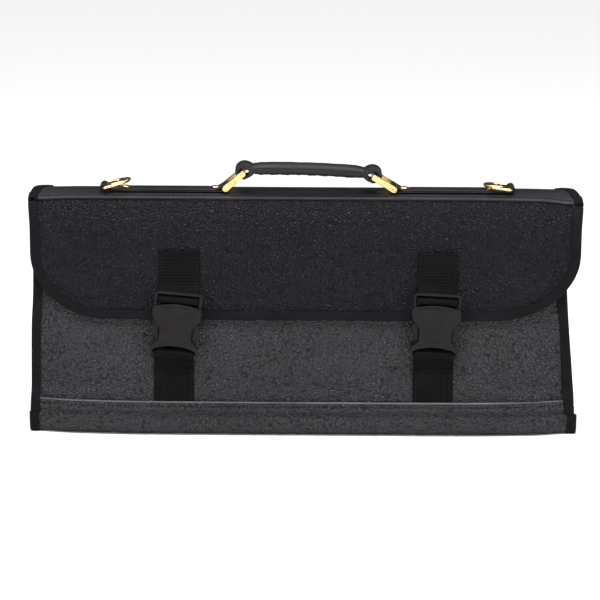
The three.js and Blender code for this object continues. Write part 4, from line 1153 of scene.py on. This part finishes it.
def strap_path(side):
    """Closed loop of the folded strap: over both bars and back under them."""
    x0, x1 = sorted((side["ring"], side["pin"]))
    r = PIN_RADIUS + EYE_PLAY + STRAP_PLY / 2
    top, low = STRAP_TOP - STRAP_PLY / 2, HEIGHT + GAP + STRAP_PLY / 2
    turn = np.radians(np.linspace(75, 250, 14))
    left = [(x0 + r * math.cos(a), PIN_Z + r * math.sin(a)) for a in turn]
    right = [(x1 - r * math.cos(a), PIN_Z + r * math.sin(a)) for a in turn[::-1]]
    over = [(x, top) for x in np.linspace(x1 - 9, x0 + 9, 12)]
    under = [(x, low) for x in np.linspace(x0 + 8, x1 - 8, 12)]
    return curve(over + left + under + right, 0.9, closed=True)


def top_strap(name, side):
    """The folded strap, a closed strip of leather with rounded edges."""
    path = strap_path(side)
    out = ring_of(path, 1.0, closed=True)[0] - path
    across = np.array([-1, -0.97, -0.9, -0.7, -0.35, 0, 0.35, 0.7, 0.9, 0.97, 1]) * STRAP_WIDTH / 2
    thick = STRAP_PLY * np.array([0.35, 0.75, 1, 1.02, 1, 1, 1, 1.02, 1, 0.75, 0.35])
    outer, inner = (
        np.array([np.insert(path + out * sign * t, 1, w + STRAP_LINE, axis=1) for w, t in zip(across, thick)])
        for sign in (1, -1)
    )
    rings = np.concatenate([outer.transpose(1, 0, 2), inner.transpose(1, 0, 2)[:, ::-1]], axis=1)
    verts, faces = tube(rings, closed=True)
    name = f"top_strap_{name}"
    piece(f"{name}_look", verts, faces, FINE, replaces=(name,), slot="smooth_leather", sharp=60)


def lathe(profile, steps=32):
    angle = circle(steps)
    r, z = np.array(profile).T
    r, z = r[:, None], z[:, None]
    return tube(np.stack([r * np.cos(angle), r * np.sin(angle), z + 0 * angle], axis=-1))


def brass_piece(name, verts, faces, matrix, body="roll", sharp=40):
    verts = np.array([matrix @ Vector(v) for v in verts])
    node = name.replace("_look", "")
    return piece(name, verts, faces, BRASS, body=body, replaces=(node,), slot="brass", sharp=sharp)


def leg(y0, y1):
    """A flat ring leg: round at the pin, square at the bar, its faces softly domed."""
    half = 3.1
    outline = [(half * math.cos(a), half * math.sin(a)) for a in np.radians(np.linspace(90, 270, 15))]
    lower = [(8, 0.98), (16, 0.93), (23.2, 0.9), (24.4, 0.62)]
    outline += [(x, -half * share) for x, share in lower] + [(x, half * share) for x, share in lower[::-1]]
    outline = resample(np.array(outline), 0.7, closed=True)
    inward = unit(np.array([10.0, 0.0]) - outline)
    rings = []
    for t, inset in ((0, 0.55), (0.12, 0.15), (0.3, 0), (0.7, 0), (0.88, 0.15), (1, 0.55)):
        rings.append(np.insert(outline + inward * inset, 1, y0 + (y1 - y0) * t, axis=1))
    return tube(np.array(rings))


def join(parts):
    verts, faces, start = [], [], 0
    for v, f in parts:
        verts.append(np.asarray(v))
        faces += [[int(i) + start for i in q] for q in f]
        start += len(v)
    return np.concatenate(verts), faces


def pin(x, half, head=0.35):
    """A cross pin whose ends are rounded over by a head."""
    angle, radius = circle(24), PIN_RADIUS
    stops = [(-half - head, radius * 0.55), (-half - head * 0.6, radius * 0.9), (-half, radius)]
    stops += [(-y, r) for y, r in stops[::-1]]
    rings = [np.stack([x + r * np.cos(angle), np.full(24, y), r * np.sin(angle)], axis=1) for y, r in stops]
    return tube(np.array(rings))


def d_ring():
    """A round wire bent to a D: a straight bar with bent corners, and a bow."""
    wire, bend = 1.5, 2.5
    half, bow = STRAP_WIDTH / 2 + 2 + wire, 26.5 - wire - 8
    path = []

    def arc(cx, cy, rx, ry, a, b, steps):
        for i in range(steps + 1):
            t = math.radians(a + (b - a) * i / steps)
            path.append((cx + rx * math.cos(t), cy + ry * math.sin(t)))

    arc(bend, bend - half, bend, bend, 180, 270, 8)
    arc(8, 0, bow, half, -90, 90, 48)
    arc(bend, half - bend, bend, bend, 90, 180, 8)
    path = resample(np.array(path), 0.8, closed=True)
    along = unit(np.roll(path, -1, axis=0) - np.roll(path, 1, axis=0))
    out = np.stack([along[:, 1], -along[:, 0]], axis=1)
    angle = circle(16)
    rings = np.zeros((len(path), 16, 3))
    rings[:, :, :2] = path[:, None] + out[:, None] * wire * np.cos(angle)[None, :, None]
    rings[:, :, 2] = wire * np.sin(angle)
    return tube(rings, closed=True)


RIVET = [(0.01, -2.8), (1.4, -2.8), (1.4, 0.3), (4.3, 0.3), (4.5, 0.45), (4.45, 0.72)]
RIVET += [(4.45 * math.cos(a), 0.72 + 1.45 * math.sin(a)) for a in np.radians([12, 28, 45, 62, 78])]
RIVET += [(0.01, 2.18)]


def at_pin(side, place, lean):
    """The frame of a ring on its pin, facing the roll's middle and leant up by an angle."""
    flip = Matrix.Rotation(0 if side["sign"] < 0 else math.pi, 4, "Z")
    up = Matrix.Rotation(-math.radians(side[lean]), 4, "Y")
    return Matrix.Translation((side[place], STRAP_LINE, PIN_Z)) @ flip @ up


for name, side in SIDES.items():
    top_strap(name, side)
    sign = side["sign"]
    for x, where in ((side["ring"] - sign * 20.5, "outer"), (side["pin"] + sign * 9.5, "inner")):
        place = Matrix.Translation((x, STRAP_LINE, STRAP_TOP))
        brass_piece(f"rivet_{name}_{where}_look", *lathe(RIVET), place, sharp=50)
    bail = join([leg(-14.2, -11.2), leg(11.2, 14.2), pin(0, 14.2), pin(RING_LENGTH, 13.8, head=0)])
    brass_piece(f"handle_ring_{name}_look", *bail, at_pin(side, "pin", "lean"))
    place = at_pin(side, "ring", "tilt")
    brass_piece(f"d_ring_{name}_look", *d_ring(), place, body=f"d_ring_{name}", sharp=180)


# Handle


def handle():
    """The rolled grip with its creases, and the two thick loops round the rings' bars."""
    bars = []
    for side in SIDES.values():
        lean = math.radians(side["lean"])
        reach_x = side["sign"] * RING_LENGTH * math.cos(lean)
        bars.append((side["pin"] - reach_x, PIN_Z + RING_LENGTH * math.sin(lean)))
    radius, wall, stretch = 7.8, 3.4, 1.2
    inside = radius - wall
    along = 0.6 * (inside * stretch - PIN_RADIUS - GAP)
    up = 0.75 * (inside - PIN_RADIUS - GAP)
    eyes = [(bars[0][0] + along, bars[0][1] + up), (bars[1][0] - along, bars[1][1] + up)]
    start = eyes[0][0] + radius * stretch - wall
    stop = eyes[1][0] - radius * stretch + wall
    steps, sides = 110, 44
    half_wide, half_tall, bow = 9.5, 5.8, 1.5

    def centre(t):
        return bars[0][1] + 2.9 + (bars[1][1] - bars[0][1]) * t + bow * 4 * t * (1 - t)

    angle = circle(sides) + math.pi / sides
    rings = []
    for i in range(steps + 1):
        t = i / steps
        full = 0.75 + 0.25 * min(1, math.sin(math.pi * t) * 3.5)
        full *= 1 + 0.014 * math.sin(t * 41) + 0.012 * math.sin(t * 23 + 1)
        c, q = np.cos(angle), np.sin(angle)
        y = half_wide * np.sign(c) * np.abs(c) ** 0.7
        z = half_tall * full * np.sign(q) * np.abs(q) ** 0.75
        lap = 0.55 * np.exp(-(((z + 1.4 + 0.3 * math.sin(t * 9)) / 0.45) ** 2))
        lap += 0.25 * np.exp(-(((z - 2.9) / 0.8) ** 2))
        y = np.sign(y) * (np.abs(y) - lap)
        ragged = np.where(z < -5.2 * full, 0.2 * math.sin(t * 57) + 0.12 * math.sin(t * 133), 0)
        x = np.full(sides, start + (stop - start) * t)
        rings.append(np.stack([x, y + STRAP_LINE, centre(t) + z + ragged], axis=1))
    parts = [tube(np.array(rings))]
    across = np.array([-1, -0.985, -0.94, -0.8, -0.4, 0, 0.4, 0.8, 0.94, 0.985, 1]) * 10
    shrink = np.array([0.72, 0.9, 1, 1, 1, 1, 1, 1, 1, 0.9, 0.72])
    turn = circle(48)
    for eye, sign, end in ((eyes[0], 1, 0), (eyes[1], -1, 1)):
        outer, inner = (
            np.stack([eye[0] + r * stretch * np.cos(turn), eye[1] + r * np.sin(turn)], axis=1)
            for r in (radius, inside)
        )
        merge = (np.sign(sign * np.cos(turn)) + 1) / 2 * np.abs(np.cos(turn)) ** 0.6
        outer[:, 1] += merge * 0.55 * (centre(end) + 5.2 * np.sin(turn) - outer[:, 1])
        inner[:, 0] = eye[0] + sign * np.minimum(sign * (inner[:, 0] - eye[0]), 3.6)
        inner[:, 1] = eye[1] + np.minimum(inner[:, 1] - eye[1], 1.9 - 0.3 * sign * (inner[:, 0] - eye[0]))
        between = (outer + inner) / 2
        rings = []
        for w, k in zip(across, shrink):
            pressed_in = 1 - 0.03 * (abs(w) < 9)
            loop = between + (outer - between) * k * pressed_in
            rings.append(np.insert(loop, 1, w + STRAP_LINE, axis=1))
        for w, k in zip(across[::-1], shrink[::-1]):
            rings.append(np.insert(between + (inner - between) * k, 1, w + STRAP_LINE, axis=1))
        parts.append(tube(np.array(rings), closed=True))
    verts, faces = join(parts)
    piece("handle_look", verts, faces, FINE, replaces=("handle",), slot="smooth_leather", sharp=60)
    t = np.linspace(0.04, 0.96, 40)
    for out in (-1, 1):
        y = np.full(40, STRAP_LINE + out * 9.3)
        points = np.stack([start + (stop - start) * t, y, centre(t) + 1.6], axis=1)
        stitches(points, np.tile([0.0, out, 0.1], (40, 1)), 3.6, radius=0.34)


handle()
sew("stitching", THREAD_LOOK)


# Floor, light and camera

floor_mesh = bpy.data.meshes.new("floor")
floor_mesh.from_pydata([(-40, -40, 0), (40, -40, 0), (40, 40, 0), (-40, 40, 0)], [], [(0, 1, 2, 3)])
floor = bpy.data.objects.new("floor", floor_mesh)
paper = Nodes("paper")
paper.finish(Base_Color=(0.92, 0.92, 0.92, 1), Roughness=0.9, Specular_IOR_Level=0.1)
floor_mesh.materials.append(paper.material)
bpy.context.collection.objects.link(floor)


def softbox(name, at, aim, size, power):
    """A rectangular light that faces a point."""
    data = bpy.data.lights.new(name, "AREA")
    data.shape = "RECTANGLE"
    data.size, data.size_y = size
    data.energy = power
    light = bpy.data.objects.new(name, data)
    light.location = at
    light.rotation_euler = (Vector(aim) - Vector(at)).to_track_quat("-Z", "Y").to_euler()
    bpy.context.collection.objects.link(light)


softbox("light_front_top", (0, -0.9, 1.7), (0, 0, 0.2), (1.6, 0.25), 40)
softbox("light_left", (-1.7, -1.9, 0.75), (0, 0, 0.1), (0.3, 0.8), 18)
softbox("light_right", (1.7, -1.9, 0.75), (0, 0, 0.1), (0.3, 0.8), 23)
dome_data = bpy.data.lights.new("light_dome", "SUN")
dome_data.energy = 2.85
dome_data.angle = math.radians(80)
dome = bpy.data.objects.new("light_dome", dome_data)
bpy.context.collection.objects.link(dome)

world = bpy.data.worlds.new("studio")
world.use_nodes = True
world.node_tree.nodes["Background"].inputs["Color"].default_value = (1, 1, 1, 1)
world.node_tree.nodes["Background"].inputs["Strength"].default_value = 0.03
bpy.context.scene.world = world

DISTANCE = 3.0
ELEVATION = math.radians(12.5)
ROLL = math.radians(0.3)
SENSOR, LENS, PIXELS = 36.0, 188.4, 600
PIXEL = DISTANCE * SENSOR / (LENS * PIXELS)
camera_data = bpy.data.cameras.new("camera")
camera_data.sensor_width = SENSOR
camera_data.lens = LENS
camera_data.clip_end = 50
camera = bpy.data.objects.new("camera", camera_data)
bpy.context.collection.objects.link(camera)
middle = Vector((0, 0, 0.114))
back = Vector((0, -math.cos(ELEVATION), math.sin(ELEVATION)))
up = Vector((0, math.sin(ELEVATION), math.cos(ELEVATION)))
camera.location = middle + back * DISTANCE
aim = middle + Vector((-4.5, 0, 0)) * PIXEL + up * 13.9 * PIXEL
camera.rotation_mode = "QUATERNION"
turned = (aim - camera.location).to_track_quat("-Z", "Y")
camera.rotation_quaternion = turned @ Matrix.Rotation(ROLL, 4, "Z").to_quaternion()
bpy.context.scene.camera = camera
bpy.context.scene.view_settings.view_transform = "Standard"
